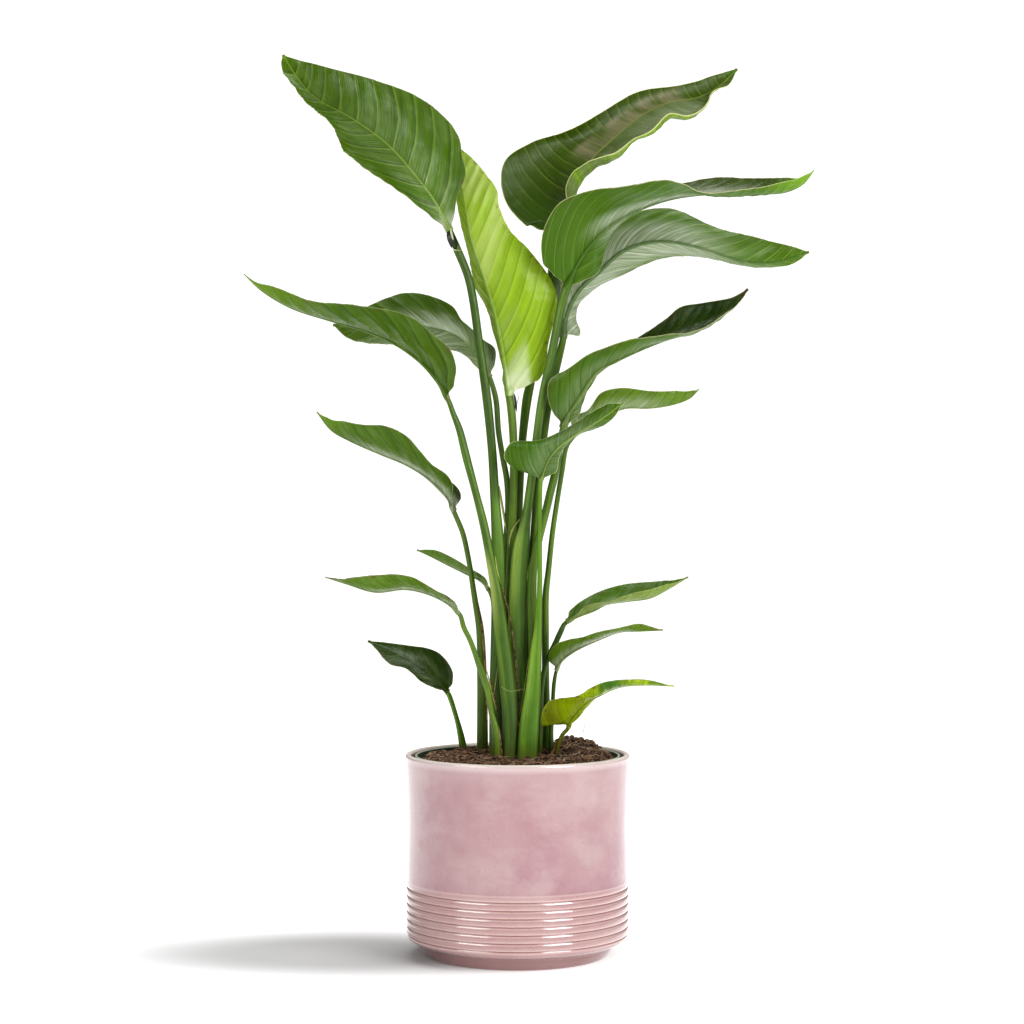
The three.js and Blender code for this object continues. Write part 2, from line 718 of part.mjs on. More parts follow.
// The planter's outline, in places of [radius, z]: up the outside from the foot over the
// grooves to the rim, and down the inside to its floor.
const FOOT_PROFILE = [
  [0, 0], [FOOT_R, 0], [FOOT_R + 3, 1.2], [FOOT_WALL_R - 1, 7], [FOOT_WALL_R, 11],
  [103, 14], [108.5, GROOVE_FIRST_Z - 3],
];
const WALL_PROFILE = [
  [BAND_R - 0.6, 76], [WAIST_R + 0.3, 100], [WAIST_R, 126], [110.4, 160], [RIM_R - 0.3, 188],
];
const RIM_PROFILE = [
  [RIM_R, PLANTER_HEIGHT - 3], [RIM_R - 1, PLANTER_HEIGHT - 0.8], [RIM_R - 2.8, PLANTER_HEIGHT],
  [RIM_R - 4.8, PLANTER_HEIGHT - 0.8], [RIM_R - PLANTER_WALL, PLANTER_HEIGHT - 3],
];
const INSIDE_PROFILE = [
  [WAIST_R - PLANTER_WALL, 126], [BAND_R - PLANTER_WALL - 1.5, 70], [BAND_R - PLANTER_WALL - 2, 28],
  [98, 15], [88, FLOOR_Z], [0, FLOOR_Z],
];

function planterGeometry() {
  const outside = [...FOOT_PROFILE];
  for (let i = 0; i < GROOVE_COUNT; i++) {
    const z = GROOVE_FIRST_Z + i * GROOVE_PITCH;
    const r = i === 0 ? BAND_R - 1 : BAND_R;
    outside.push(
      [r - GROOVE_EDGE_DROP, z - GROOVE_HALF],
      [r - GROOVE_DEPTH, z],
      [BAND_R - GROOVE_EDGE_DROP, z + GROOVE_HALF],
    );
    if (i + 1 < GROOVE_COUNT) {
      outside.push([BAND_R, z + GROOVE_PITCH / 2]);
    }
  }
  return turned([...outside, ...WALL_PROFILE, ...RIM_PROFILE, ...INSIDE_PROFILE], PLANTER_SEGMENTS);
}

// The growing pot: a thin tapered wall, a lip turned outwards, and a base with holes.
function nurseryPotGeometry() {
  const base = FLOOR_Z + GAP;
  const shell = turned(
    [
      [0, base], [POT_BASE_R, base], [POT_MOUTH_R + POT_WALL, POT_LIP_Z], [POT_RIM_R, POT_LIP_Z],
      [POT_RIM_R, POT_TOP_Z], [POT_RIM_R - POT_LIP_WALL, POT_TOP_Z], [POT_MOUTH_R, POT_LIP_Z],
      [POT_BASE_R - POT_WALL, base + POT_WALL], [0, base + POT_WALL],
    ],
    POT_SEGMENTS,
  );
  let pot = solidOf(shell);
  for (let i = 0; i < DRAIN_HOLES; i++) {
    const a = (2 * Math.PI * i) / DRAIN_HOLES;
    const hole = new THREE.CylinderGeometry(DRAIN_R, DRAIN_R, 4 * POT_WALL, 10);
    hole.rotateX(Math.PI / 2);
    hole.translate(DRAIN_CIRCLE_R * Math.cos(a), DRAIN_CIRCLE_R * Math.sin(a), base + POT_WALL / 2);
    pot = pot.subtract(solidOf(hole));
  }
  return geometryFrom(pot);
}

// The soil's top: a little uneven, with a mound to the right behind the stalks.
function soilHeight(x, y) {
  const roll = SOIL_ROLL * Math.sin(x / 11 + 1) * Math.cos(y / 13);
  const bump = SOIL_BUMP * Math.sin(x / 6 - y / 8);
  const off = Math.hypot(x - SOIL_MOUND_X, y - SOIL_MOUND_Y) / SOIL_MOUND_R;
  const mound = SOIL_MOUND * Math.exp(-(off ** 2));
  return SOIL_Z + roll + bump + mound;
}

// The soil fills the growing pot, less a plain hole for each stalk.
function soilGeometry(stalks) {
  const low = FLOOR_Z + 2 * GAP + POT_WALL;
  const slope = (POT_MOUTH_R - POT_BASE_R + POT_WALL) / (POT_LIP_Z - FLOOR_Z);
  const lowR = POT_BASE_R - POT_WALL - 3 * GAP;
  const brimZ = POT_LIP_Z - 4;
  const brimR = lowR + (brimZ - low) * slope;
  const top = SOIL_RINGS.map((k) => [brimR * k, SOIL_Z]);
  const profile = [[0, low], [lowR, low], [brimR, brimZ], ...top];
  const body = turned(profile, POT_SEGMENTS);
  const place = body.getAttribute("position");
  for (let i = 0; i < place.count; i++) {
    if (Math.abs(place.getZ(i) - SOIL_Z) > 0.01) continue;
    const r = Math.hypot(place.getX(i), place.getY(i)) / brimR;
    const settle = r > SOIL_EDGE_SHARE ? SOIL_EDGE_DROP : 0;
    place.setZ(i, soilHeight(place.getX(i), place.getY(i)) - settle);
  }
  let soil = solidOf(body);
  for (const stalk of stalks) soil = soil.subtract(stalk);
  return geometryFrom(largest(soil));
}

function largest(solid) {
  return solid.decompose().sort((a, b) => b.volume() - a.volume())[0];
}

// A closed mesh as a solid, and a solid as a mesh.
function solidOf(geometry) {
  const bare = geometry.clone();
  bare.deleteAttribute("normal");
  bare.deleteAttribute("uv");
  const merged = mergeVertices(bare, 1e-4);
  return new wasm.Manifold(
    new wasm.Mesh({
      numProp: 3,
      vertProperties: new Float32Array(merged.getAttribute("position").array),
      triVerts: new Uint32Array(merged.index.array),
    }),
  );
}

function geometryFrom(solid) {
  const mesh = solid.getMesh();
  return geometryOf(Array.from(mesh.vertProperties), Array.from(mesh.triVerts));
}

// The stalks stand in a nest, the ones nearest the eye first: each keeps clear of those
// before it.
function clearOfEachOther(leaves) {
  const order = [...leaves].sort((a, b) => footDepth(a) - footDepth(b));
  const done = [];
  const solids = new Map();
  for (const leaf of order) {
    let solid = solidOf(stalkGeometry(leaf));
    for (const other of done) {
      if (solid.intersect(other).volume() > 0) solid = largest(solid.subtract(other));
    }
    solids.set(leaf.name, solid);
    done.push(solidOf(stalkGeometry(leaf, HOLE_GAP)));
  }
  return { solids, fatter: done };
}

function footDepth(leaf) {
  return leaf.stalk[leaf.stalk.length - 1][2];
}

function meshOf(name, geometry, colour, roughness) {
  geometry.computeVertexNormals();
  const material = new THREE.MeshStandardMaterial({ color: colour, roughness, metalness: 0 });
  const mesh = new THREE.Mesh(geometry, material);
  mesh.name = name;
  return mesh;
}

function buildPlant() {
  const plant = new THREE.Group();
  const { solids, fatter } = clearOfEachOther(LEAVES);
  plant.add(meshOf("planter", planterGeometry(), PLANTER_COLOUR, 0.18));
  plant.add(meshOf("nursery_pot", nurseryPotGeometry(), POT_COLOUR, 0.5));
  plant.add(meshOf("soil", soilGeometry(fatter), SOIL_COLOUR, 0.95));
  for (const leaf of LEAVES) {
    plant.add(meshOf("blade_" + leaf.name, bladeGeometry(leaf), leaf.colour, 0.45));
    plant.add(meshOf("stalk_" + leaf.name, geometryFrom(solids.get(leaf.name)), STALK_COLOUR, 0.5));
  }
  return plant;
}

export default buildPlant();
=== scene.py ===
"""The looks of a potted bird of paradise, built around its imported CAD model.

A glazed pink planter holds a plastic growing pot with soil, and 17 leaves stand in the soil,
each a blade on a stalk. Everything is in metres, +Z up, with the origin under the planter.
"""

from __future__ import annotations

import logging
import math
import random
from collections.abc import Callable
from dataclasses import dataclass
from enum import Enum

import bpy
import numpy as np
from mathutils import Matrix, Vector, noise
from mathutils.bvhtree import BVHTree


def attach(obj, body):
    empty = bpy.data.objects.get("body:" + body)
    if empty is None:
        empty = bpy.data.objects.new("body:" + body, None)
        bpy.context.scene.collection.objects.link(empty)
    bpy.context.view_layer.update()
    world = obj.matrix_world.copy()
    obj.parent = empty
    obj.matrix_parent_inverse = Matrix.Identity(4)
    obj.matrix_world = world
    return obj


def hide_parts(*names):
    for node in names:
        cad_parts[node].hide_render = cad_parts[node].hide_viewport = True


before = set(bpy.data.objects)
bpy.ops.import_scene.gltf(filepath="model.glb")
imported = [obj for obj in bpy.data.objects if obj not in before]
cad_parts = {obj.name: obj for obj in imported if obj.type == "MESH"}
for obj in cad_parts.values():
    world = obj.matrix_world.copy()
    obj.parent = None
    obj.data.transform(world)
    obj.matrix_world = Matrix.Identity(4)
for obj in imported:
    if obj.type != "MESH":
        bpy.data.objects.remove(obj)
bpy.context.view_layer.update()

logging.basicConfig(level=logging.INFO, format="%(message)s")
LOG = logging.getLogger("potted_plant")

MM = 0.001
UV_STEP = 100.0  # mm for each unit of a UV map
SEED = 17
WHITE = (1.0, 1.0, 1.0)
FULL_TURN = 2 * math.pi

# The front elevation on which the leaves are drawn, in mm, as seen by an eye in front.
EYE_HEIGHT = 441.0
EYE_DISTANCE = 2250.0
EYE_SIDE = -5.5
SHEET_AXIS = 517.5
SHEET_GROUND = 953.0
EYE = (EYE_SIDE * MM, -EYE_DISTANCE * MM, EYE_HEIGHT * MM)

# How rows of a blade are spaced, and how its ends are shaped, as in the CAD solids.
EVEN_ROWS = 0.55
END_OPENING = 0.7
BLADE_END_HALF = 1.6
STALK_TOP_SHARE = 0.62
STALK_DROP_SHARE = 0.36
STALK_TURN_SHARE = 0.6
SHEATH_THICKNESS = 8.5
STALK_FOOT_Z = 160.0

Point = tuple[float, ...]
Colour = tuple[float, float, float]


# Shader maths


def srgb(text: str) -> Colour:
    """Turns a six-figure colour as seen on a screen into linear light."""
    parts = [int(text[i : i + 2], 16) / 255 for i in (0, 2, 4)]
    linear = [c / 12.92 if c <= 0.04045 else ((c + 0.055) / 1.055) ** 2.4 for c in parts]
    return (linear[0], linear[1], linear[2])


def under_gloss(text: str) -> Colour:
    """Gives a green as it is under the gloss: a little deeper, with less blue."""
    red, green, blue = srgb(text)
    return (red * 0.86, green * 0.92, blue * 0.28)


def shade(colour: Colour, strength: float, other: Colour = WHITE, share: float = 0.0) -> Colour:
    """Makes a colour lighter or darker, and mixes some of another in."""
    mixed = [c * strength * (1 - share) + (o * share) for c, o in zip(colour, other)]
    return (min(mixed[0], 1.0), min(mixed[1], 1.0), min(mixed[2], 1.0))


def operator(kind: str, reflected: bool = False) -> Callable[[Value, Number], Value]:
    """Makes a Python operator that adds a Math node of a kind, other way round if reflected."""

    def add_node(value: Value, other: Number = 0.0) -> Value:
        """Adds the node."""
        first, second = (other, value) if reflected else (value, other)
        return value.shader.maths(kind, first, second)

    return add_node


class Value:
    """A socket's value, with Python's arithmetic."""

    def __init__(self, shader: Shader, socket: bpy.types.NodeSocket) -> None:
        """Keeps the shader that the socket belongs to, and the socket."""
        self.shader = shader
        self.socket = socket

    __add__, __radd__ = operator("ADD"), operator("ADD", True)
    __sub__, __rsub__ = operator("SUBTRACT"), operator("SUBTRACT", True)
    __mul__, __rmul__ = operator("MULTIPLY"), operator("MULTIPLY", True)
    __abs__ = operator("ABSOLUTE")


Number = Value | float
Paint = Value | Colour | str


class Shader:
    """A node material, made by calls. A colour is linear, or six figures as on a screen."""

    def __init__(self, name: str) -> None:
        """Starts an empty node material of that name."""
        self.material = bpy.data.materials.new(name)
        self.material.use_nodes = True
        self.tree = self.material.node_tree
        self.tree.nodes.clear()

    def node(
        self,
        kind: str,
        settings: dict[str, object] | None = None,
        sockets: dict[str | int, object] | None = None,
        output: str | int = 0,
    ) -> Value:
        """Adds a node.

        Args:
            kind: The node's type.
            settings: Its properties.
            sockets: The values or links of its inputs, by name or number.
            output: Which output is wanted.

        Returns:
            The value at that output.
        """
        made = self.tree.nodes.new(kind)
        for key, setting in (settings or {}).items():
            setattr(made, key, setting)
        for key, given in (sockets or {}).items():
            if isinstance(given, Value):
                self.tree.links.new(given.socket, made.inputs[key])
                continue
            if isinstance(given, str):
                given = srgb(given)
            colour = made.inputs[key].type == "RGBA"
            made.inputs[key].default_value = (*given, 1.0) if colour else given
        return Value(self, made.outputs[output])

    def maths(self, operation: str, first: Number, second: Number) -> Value:
        """Adds a Math node for two numbers."""
        return self.node("ShaderNodeMath", {"operation": operation}, {0: first, 1: second})

    def smooth(self, value: Number, low: float, high: float) -> Value:
        """Rises smoothly from 0 where the value is low to 1 where it is high."""
        settings = {"interpolation_type": "SMOOTHSTEP", "clamp": True}
        sockets = {"Value": value, "From Min": low, "From Max": high}
        return self.node("ShaderNodeMapRange", settings, sockets)

    def fade(self, value: Number, low: float, high: float) -> Value:
        """Falls smoothly from 1 where the value is low to 0 where it is high."""
        return 1.0 - self.smooth(value, low, high)

    def blend(self, factor: Number, first: Paint, second: Paint) -> Value:
        """Mixes two colours: the first where the factor is 0, the second where it is 1."""
        settings = {"data_type": "RGBA", "clamp_factor": True}
        return self.node("ShaderNodeMix", settings, {0: factor, 6: first, 7: second}, 2)

    def layered(self, skin: Value, *layers: tuple[Number, Paint]) -> Value:
        """Lays colours over a skin, in turn, each where its factor is near 1."""
        for factor, colour in layers:
            skin = self.blend(factor, skin, colour)
        return skin

    def place(self) -> Value:
        """Gives the place on the piece, in metres, in the frame that all pieces share."""
        return self.node("ShaderNodeTexCoord", output="Object")

    def spread(self) -> tuple[Value, Value, Value]:
        """Gives the place on the piece's UV map, as numbers."""
        return self.parts(self.node("ShaderNodeTexCoord", output="UV"))

    def cloud(self, where: Value, scale: float, detail: float = 2.0, rough: float = 0.5) -> Value:
        """Gives a cloudy noise from 0 to 1, with so many clouds for each unit of a place."""
        sockets = {"Vector": where, "Scale": scale, "Detail": detail, "Roughness": rough}
        return self.node("ShaderNodeTexNoise", None, sockets, "Fac")

    def joined(self, x: Number, y: Number, z: Number) -> Value:
        """Makes a vector of three numbers."""
        return self.node("ShaderNodeCombineXYZ", None, {0: x, 1: y, 2: z})

    def parts(self, vector: Value) -> tuple[Value, Value, Value]:
        """Splits a vector into its three numbers."""
        first = self.node("ShaderNodeSeparateXYZ", None, {0: vector})
        outputs = first.socket.node.outputs
        return (first, Value(self, outputs[1]), Value(self, outputs[2]))

    def bump(self, height: Value, distance: float, strength: float = 1.0) -> Value:
        """Gives the normal of a surface with that height, which is scaled by a distance."""
        sockets = {"Height": height, "Distance": distance, "Strength": strength}
        return self.node("ShaderNodeBump", None, sockets)

    def finish(self, skin: Paint, rough: Number, sockets: dict[str, object]) -> bpy.types.Material:
        """Ends the material in a Principled surface, with its colour, roughness and the rest."""
        sockets = {"Base Color": skin, "Roughness": rough, **sockets}
        surface = self.node("ShaderNodeBsdfPrincipled", None, sockets)
        out = self.tree.nodes.new("ShaderNodeOutputMaterial")
        self.tree.links.new(surface.socket, out.inputs["Surface"])
        return self.material


# Modelling helpers


def deselect() -> None:
    """Deselects every object, so that an operator acts on the new one alone."""
    bpy.ops.object.select_all(action="DESELECT")


def named(name: str) -> bpy.types.Object:
    """Names the object that was just added, and its mesh, and returns it."""
    made = bpy.context.active_object
    made.name = made.data.name = name
    return made


def take(*pieces: bpy.types.Object) -> None:
    """Makes pieces the only ones that are selected, and the first of them active."""
    deselect()
    for piece in pieces:
        piece.select_set(True)
    bpy.context.view_layer.objects.active = pieces[0]


def set_places(piece: bpy.types.Object, places: np.ndarray) -> None:
    """Moves a piece's vertices to places given in mm."""
    piece.data.vertices.foreach_set("co", (places * MM).astype(np.float32).ravel())
    piece.data.update()


def get_places(piece: bpy.types.Object) -> np.ndarray:
    """Gives a piece's vertices in mm."""
    flat = np.empty(len(piece.data.vertices) * 3, np.float32)
    piece.data.vertices.foreach_get("co", flat)
    return flat.reshape(-1, 3).astype(float) / MM


def grid_piece(name: str, places: np.ndarray, uv: np.ndarray) -> bpy.types.Object:
    """Makes a sheet of quads from a grid primitive laid over rows of places.

    Args:
        name: The piece's name.
        places: Rows by columns of places, in mm. Columns run to the right of the rows'
            direction on the sheet's front face.
        uv: Rows by columns of UV places.

    Returns:
        The piece.
    """
    rows, columns = places.shape[:2]
    deselect()
    bpy.ops.mesh.primitive_grid_add(x_subdivisions=columns - 1, y_subdivisions=rows - 1, size=1)
    piece = named(name)
    set_places(piece, places.reshape(-1, 3))
    corners = np.empty(len(piece.data.loops), np.int32)
    piece.data.loops.foreach_get("vertex_index", corners)
    spots = uv.reshape(-1, 2)[corners].astype(np.float32)
    piece.data.uv_layers[0].data.foreach_set("uv", spots.ravel())
    return piece


def close_up(fill: bool) -> None:
    """Merges doubles in edit mode, fills holes if asked, and turns the faces outwards."""
    bpy.ops.mesh.select_all(action="SELECT")
    bpy.ops.mesh.remove_doubles(threshold=1e-6)
    bpy.ops.mesh.select_all(action="SELECT")
    if fill:
        bpy.ops.mesh.fill_holes(sides=0)
        bpy.ops.mesh.select_all(action="SELECT")
    bpy.ops.mesh.normals_make_consistent(inside=False)
    bpy.ops.object.mode_set(mode="OBJECT")


def tube_piece(
    name: str,
    centre: np.ndarray,
    side: np.ndarray,
    back: np.ndarray,
    flat: np.ndarray,
    run: np.ndarray,
) -> bpy.types.Object:
    """Makes a closed tube from a grid primitive wrapped round a line.

    Args:
        name: The piece's name.
        centre: The line's places, in mm, one for each ring.
        side: Each ring's first direction.
        back: Each ring's second direction.
        flat: Rings by sides of places along those two, in mm.
        run: Each ring's place along the UV map. The way round is from 0 to 1.

    Returns:
        The piece, closed at both ends.
    """
    x, y = flat[..., :1], flat[..., 1:]
    rings = centre[:, None] + side[:, None] * x + back[:, None] * y
    wrapped = np.concatenate([rings, rings[:, :1]], axis=1)
    uv = np.stack(np.meshgrid(np.linspace(0, 1, wrapped.shape[1]), run), -1)
    piece = grid_piece(name, wrapped, uv)
    bpy.ops.object.mode_set(mode="EDIT")
    close_up(fill=True)
    return piece


def turned_piece(name: str, profile: list[Point], steps: int) -> bpy.types.Object:
    """Spins an open profile round +Z into a closed body.

    Args:
        name: The piece's name.
        profile: Places as (radius, z), in mm, with both ends on the axis.
        steps: How many steps a full turn takes.

    Returns:
        The piece.
    """
    deselect()
    bpy.ops.mesh.primitive_circle_add(vertices=len(profile), radius=0.1, fill_type="NOTHING")
    piece = named(name)
    set_places(piece, np.array([(r, 0.0, z) for r, z in profile]))
    ends = {0, len(profile) - 1}
    for edge in piece.data.edges:
        edge.select = set(edge.vertices) == ends
    for vertex in piece.data.vertices:
        vertex.select = vertex.index in ends
    bpy.ops.object.mode_set(mode="EDIT")
    bpy.ops.mesh.select_mode(type="EDGE")
    bpy.ops.mesh.delete(type="EDGE")
    bpy.ops.mesh.select_mode(type="VERT")
    bpy.ops.mesh.select_all(action="SELECT")
    bpy.ops.mesh.spin(steps=steps, angle=FULL_TURN, center=(0, 0, 0), axis=(0, 0, 1))
    close_up(fill=False)
    return piece


def soften(piece: bpy.types.Object, degrees: float) -> None:
    """Shades a piece smooth but for edges that are sharper than so many degrees."""
    take(piece)
    bpy.ops.object.shade_smooth_by_angle(angle=math.radians(degrees))


def apply_modifier(piece: bpy.types.Object, kind: str, **settings: object) -> None:
    """Adds a modifier with its settings and applies it."""
    take(piece)
    modifier = piece.modifiers.new(kind.title(), kind)
    for key, setting in settings.items():
        setattr(modifier, key, setting)
    bpy.ops.object.modifier_apply(modifier=modifier.name)


def settle(
    piece: bpy.types.Object, degrees: float, slot: str, material: bpy.types.Material, *nodes: str
) -> bpy.types.Object:
    """Finishes a piece: its shading, its material, its body and what it stands for.

    Args:
        piece: The piece.
        degrees: How sharp an edge stays sharp.
        slot: Not used.
        material: The piece's material.
        nodes: The CAD nodes that it replaces.

    Returns:
        The piece.
    """
    soften(piece, degrees)
    piece.data.materials.clear()
    piece.data.materials.append(material)
    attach(piece, "root")
    if nodes:
        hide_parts(*nodes)
    LOG.info("%s: %d faces", piece.name, len(piece.data.polygons))
    return piece


def join(
    made: list[bpy.types.Object], degrees: float, slot: str, material: bpy.types.Material
) -> bpy.types.Object:
    """Joins pieces into the first of them, and settles it."""
    take(*made)
    bpy.ops.object.join()
    return settle(made[0], degrees, slot, material)


# The front elevation


def spots(text: str) -> np.ndarray:
    """Reads places such as "450,231 437,205", or with more numbers each."""
    return np.array([spot.split(",") for spot in text.split()], float)


def seen(flat: np.ndarray, depths: np.ndarray) -> np.ndarray:
    """Carries places on the elevation along their lines of sight.

    Args:
        flat: Places on the sheet, to the right and down, in mm.
        depths: How far each lies behind the planter's axis, in mm.

    Returns:
        The places in mm.
    """
    k = 1 + depths / EYE_DISTANCE
    across = EYE_SIDE + (flat[..., 0] - SHEET_AXIS - EYE_SIDE) * k
    up = EYE_HEIGHT + (SHEET_GROUND - flat[..., 1] - EYE_HEIGHT) * k
    return np.stack([across, depths + 0 * across, up], -1)


def along(values: Point, shares: np.ndarray) -> np.ndarray:
    """Runs smoothly through a list's numbers, at shares of the way along it."""
    listed = np.array(values, float)
    at = np.clip(shares, 0, 1) * (len(listed) - 1)
    i = np.minimum(at.astype(int), len(listed) - 2)
    f = at - i
    before = listed[np.maximum(i - 1, 0)]
    after = listed[np.minimum(i + 2, len(listed) - 1)]
    slope0, slope1 = (listed[i + 1] - before) / 2, (after - listed[i]) / 2
    f2, f3 = f * f, f**3
    start = (2 * f3 - 3 * f2 + 1) * listed[i] + (f3 - 2 * f2 + f) * slope0
    return start + (3 * f2 - 2 * f3) * listed[i + 1] + (f3 - f2) * slope1


def through(points: np.ndarray, steps: np.ndarray) -> np.ndarray:
    """Follows the centripetal curve through points.

    Args:
        points: The points, in any number of dimensions.
        steps: Where on it, from 0 at the first point to 1 at the last, even by points.

    Returns:
        The places on the curve.
    """
    full = np.vstack([2 * points[0] - points[1], points, 2 * points[-1] - points[-2]])
    at = np.clip(steps, 0, 1) * (len(points) - 1)
    i = np.minimum(at.astype(int), len(points) - 2)
    f = (at - i)[:, None]
    x0, x1, x2, x3 = (full[i + k] for k in range(4))
    steps = (x1 - x0, x2 - x1, x3 - x2)
    gaps = (np.sqrt(np.linalg.norm(step, axis=1))[:, None] for step in steps)
    d0, d1, d2 = (np.maximum(gap, 1e-4) for gap in gaps)
    t1 = ((x1 - x0) / d0 - (x2 - x0) / (d0 + d1) + (x2 - x1) / d1) * d1
    t2 = ((x2 - x1) / d1 - (x3 - x1) / (d1 + d2) + (x3 - x2) / d2) * d1
    start = x1 + t1 * f + (-3 * x1 + 3 * x2 - 2 * t1 - t2) * f**2
    return start + (2 * x1 - 2 * x2 + t1 + t2) * f**3


def length_to(places: np.ndarray) -> np.ndarray:
    """Gives how far each place lies along the line through them."""
    return np.concatenate([[0], np.cumsum(np.linalg.norm(np.diff(places, axis=0), axis=1))])


def by_length(points: np.ndarray, shares: np.ndarray) -> np.ndarray:
    """Gives places on the curve through points, at shares of its length."""
    dense = through(points, np.linspace(0, 1, 24 * len(points)))
    run = length_to(dense)
    at = np.clip(shares, 0, 1) * run[-1]
    return np.stack([np.interp(at, run, dense[:, k]) for k in range(dense.shape[1])], -1)


def unit(vectors: np.ndarray) -> np.ndarray:
    """Gives vectors a length of 1."""
    return vectors / np.maximum(np.linalg.norm(vectors, axis=-1, keepdims=True), 1e-9)


def ramp(values: np.ndarray, low: float, high: float) -> np.ndarray:
    """Rises smoothly from 0 where a value is low to 1 where it is high."""
    t = np.clip((values - low) / (high - low), 0, 1)
    return t * t * (3 - 2 * t)


def ripple(places: np.ndarray, size: float, shift: float) -> np.ndarray:
    """Gives smooth noise from about -1 to 1 at places in mm, with bumps of about a size."""
    values = [noise.noise(Vector(spot)) for spot in places.reshape(-1, 3) / size + shift]
    return np.array(values).reshape(places.shape[:-1]) * 1.6


# Leaves


class Half(Enum):
    """A half of a blade, on its upper face with the tip away; the value is its turn."""

    LEFT = 1
    RIGHT = -1


class Face(Enum):
    """Which way a leaf colour lies: on its upper face or on its underside."""

    UPPER = 1.0
    UNDER = 0.0


@dataclass(frozen=True)
class Curl:
    """A margin rolled over: which half's, from and to which shares of the leaf's length,
    how much of the half rolls at even steps between them, and how far round, in radians."""

    half: Half
    start: float
    end: float
    shares: tuple[float, ...]
    turn: float
    fade: float = 0.12
    thickness: float = 0.9


@dataclass(frozen=True)
class Patch:
    """A patch of another colour on a half, between two side veins, in tenths of a metre."""

    half: Half
    start: float
    end: float
    colour: str
    strength: float
    reach: float = 0.5


@dataclass(frozen=True)
class LeafLook:
    """How one leaf is coloured and how its surface moves.

    Colours are as seen on a screen. pleat and wave are the heights, in mm, of the folds
    along the side veins and of the slow waves towards the margins. pitch is the step from
    one side vein's groove to the next along the midrib, and lean how far a side vein runs
    on for each mm from the midrib. panels darkens each fold towards the tip
    and lightens it towards the base: painted shade and painted light. sheen is a whitish
    colour near the midrib, partly the leaf's own whitish coating and partly painted sheen;
    sheen_reach is how far it goes, in mm, and sheen_from the share of the length that it
    starts at. coating_and_sheen_patches lays whitish patches, partly the leaf's own whitish
    coating and partly painted sheen. foot and tip colour the blade's ends where they aren't
    empty, and tip_start is where the tip's colour sets in.
    """

    upper: str
    under: str
    rib: str = "a9b86a"
    margin: str = "c9c79a"
    tint: str = "7a8f4a"
    slot: str = "leaf_green"
    pleat: float = 1.1
    pitch: float = 19.0
    wave: float = 1.2
    gloss: float = 0.14
    veins: float = 0.5
    panels: float = 0.35
    sheen: float = 0.0
    sheen_reach: float = 25.0
    sheen_from: float = 0.0
    foot: str = ""
    tip: str = ""
    tip_start: float = 0.93
    line: str = "33501a"
    lean: float = 1.2
    rib_share: float = 0.45
    dry_margin: float = 0.2
    brown: float = 0.12
    coating_and_sheen_patches: float = 0.2
    curls: tuple[Curl, ...] = ()
    patches: tuple[Patch, ...] = ()


@dataclass(frozen=True)
class Leaf:
    """One leaf's lines on the front elevation, with their depths, as in the CAD solids.

    The lines are texts of places in mm, from the blade's base to its tip and from the stalk's
    top to its foot. A margin's line and its depths beyond the midrib's leave out both ends,
    which it shares with the midrib. A stalk's places have a depth and a width too.
    """

    name: str
    rows: int
    cup: float
    depth: Point
    left_depth: Point
    right_depth: Point
    rib: str
    left: str
    right: str
    stalk: str
    right_pace: float = 1.0

    def small(self) -> bool:
        """Tells whether this is one of the small leaves, which need fewer faces."""
        return len(self.stalk_table()) < 5 or self.rows < 10

    def stalk_table(self) -> np.ndarray:
        """Gives the stalk's places, each with its depth and its width."""
        return spots(self.stalk)

    def top_width(self) -> float:
        """Gives the stalk's width under the blade, in mm."""
        return float(self.stalk_table()[0, 3])

    def margin(self, turn: int) -> tuple[np.ndarray, Point, float]:
        """Gives a margin's places, its depths beyond the midrib's, and the pace along it."""
        text, beyond, pace = (
            (self.left, self.left_depth, 1.0)
            if turn == Half.LEFT.value
            else (self.right, self.right_depth, self.right_pace)
        )
        rib = spots(self.rib)
        return np.vstack([rib[:1], spots(text), rib[-1:]]), (0, *beyond, 0), pace


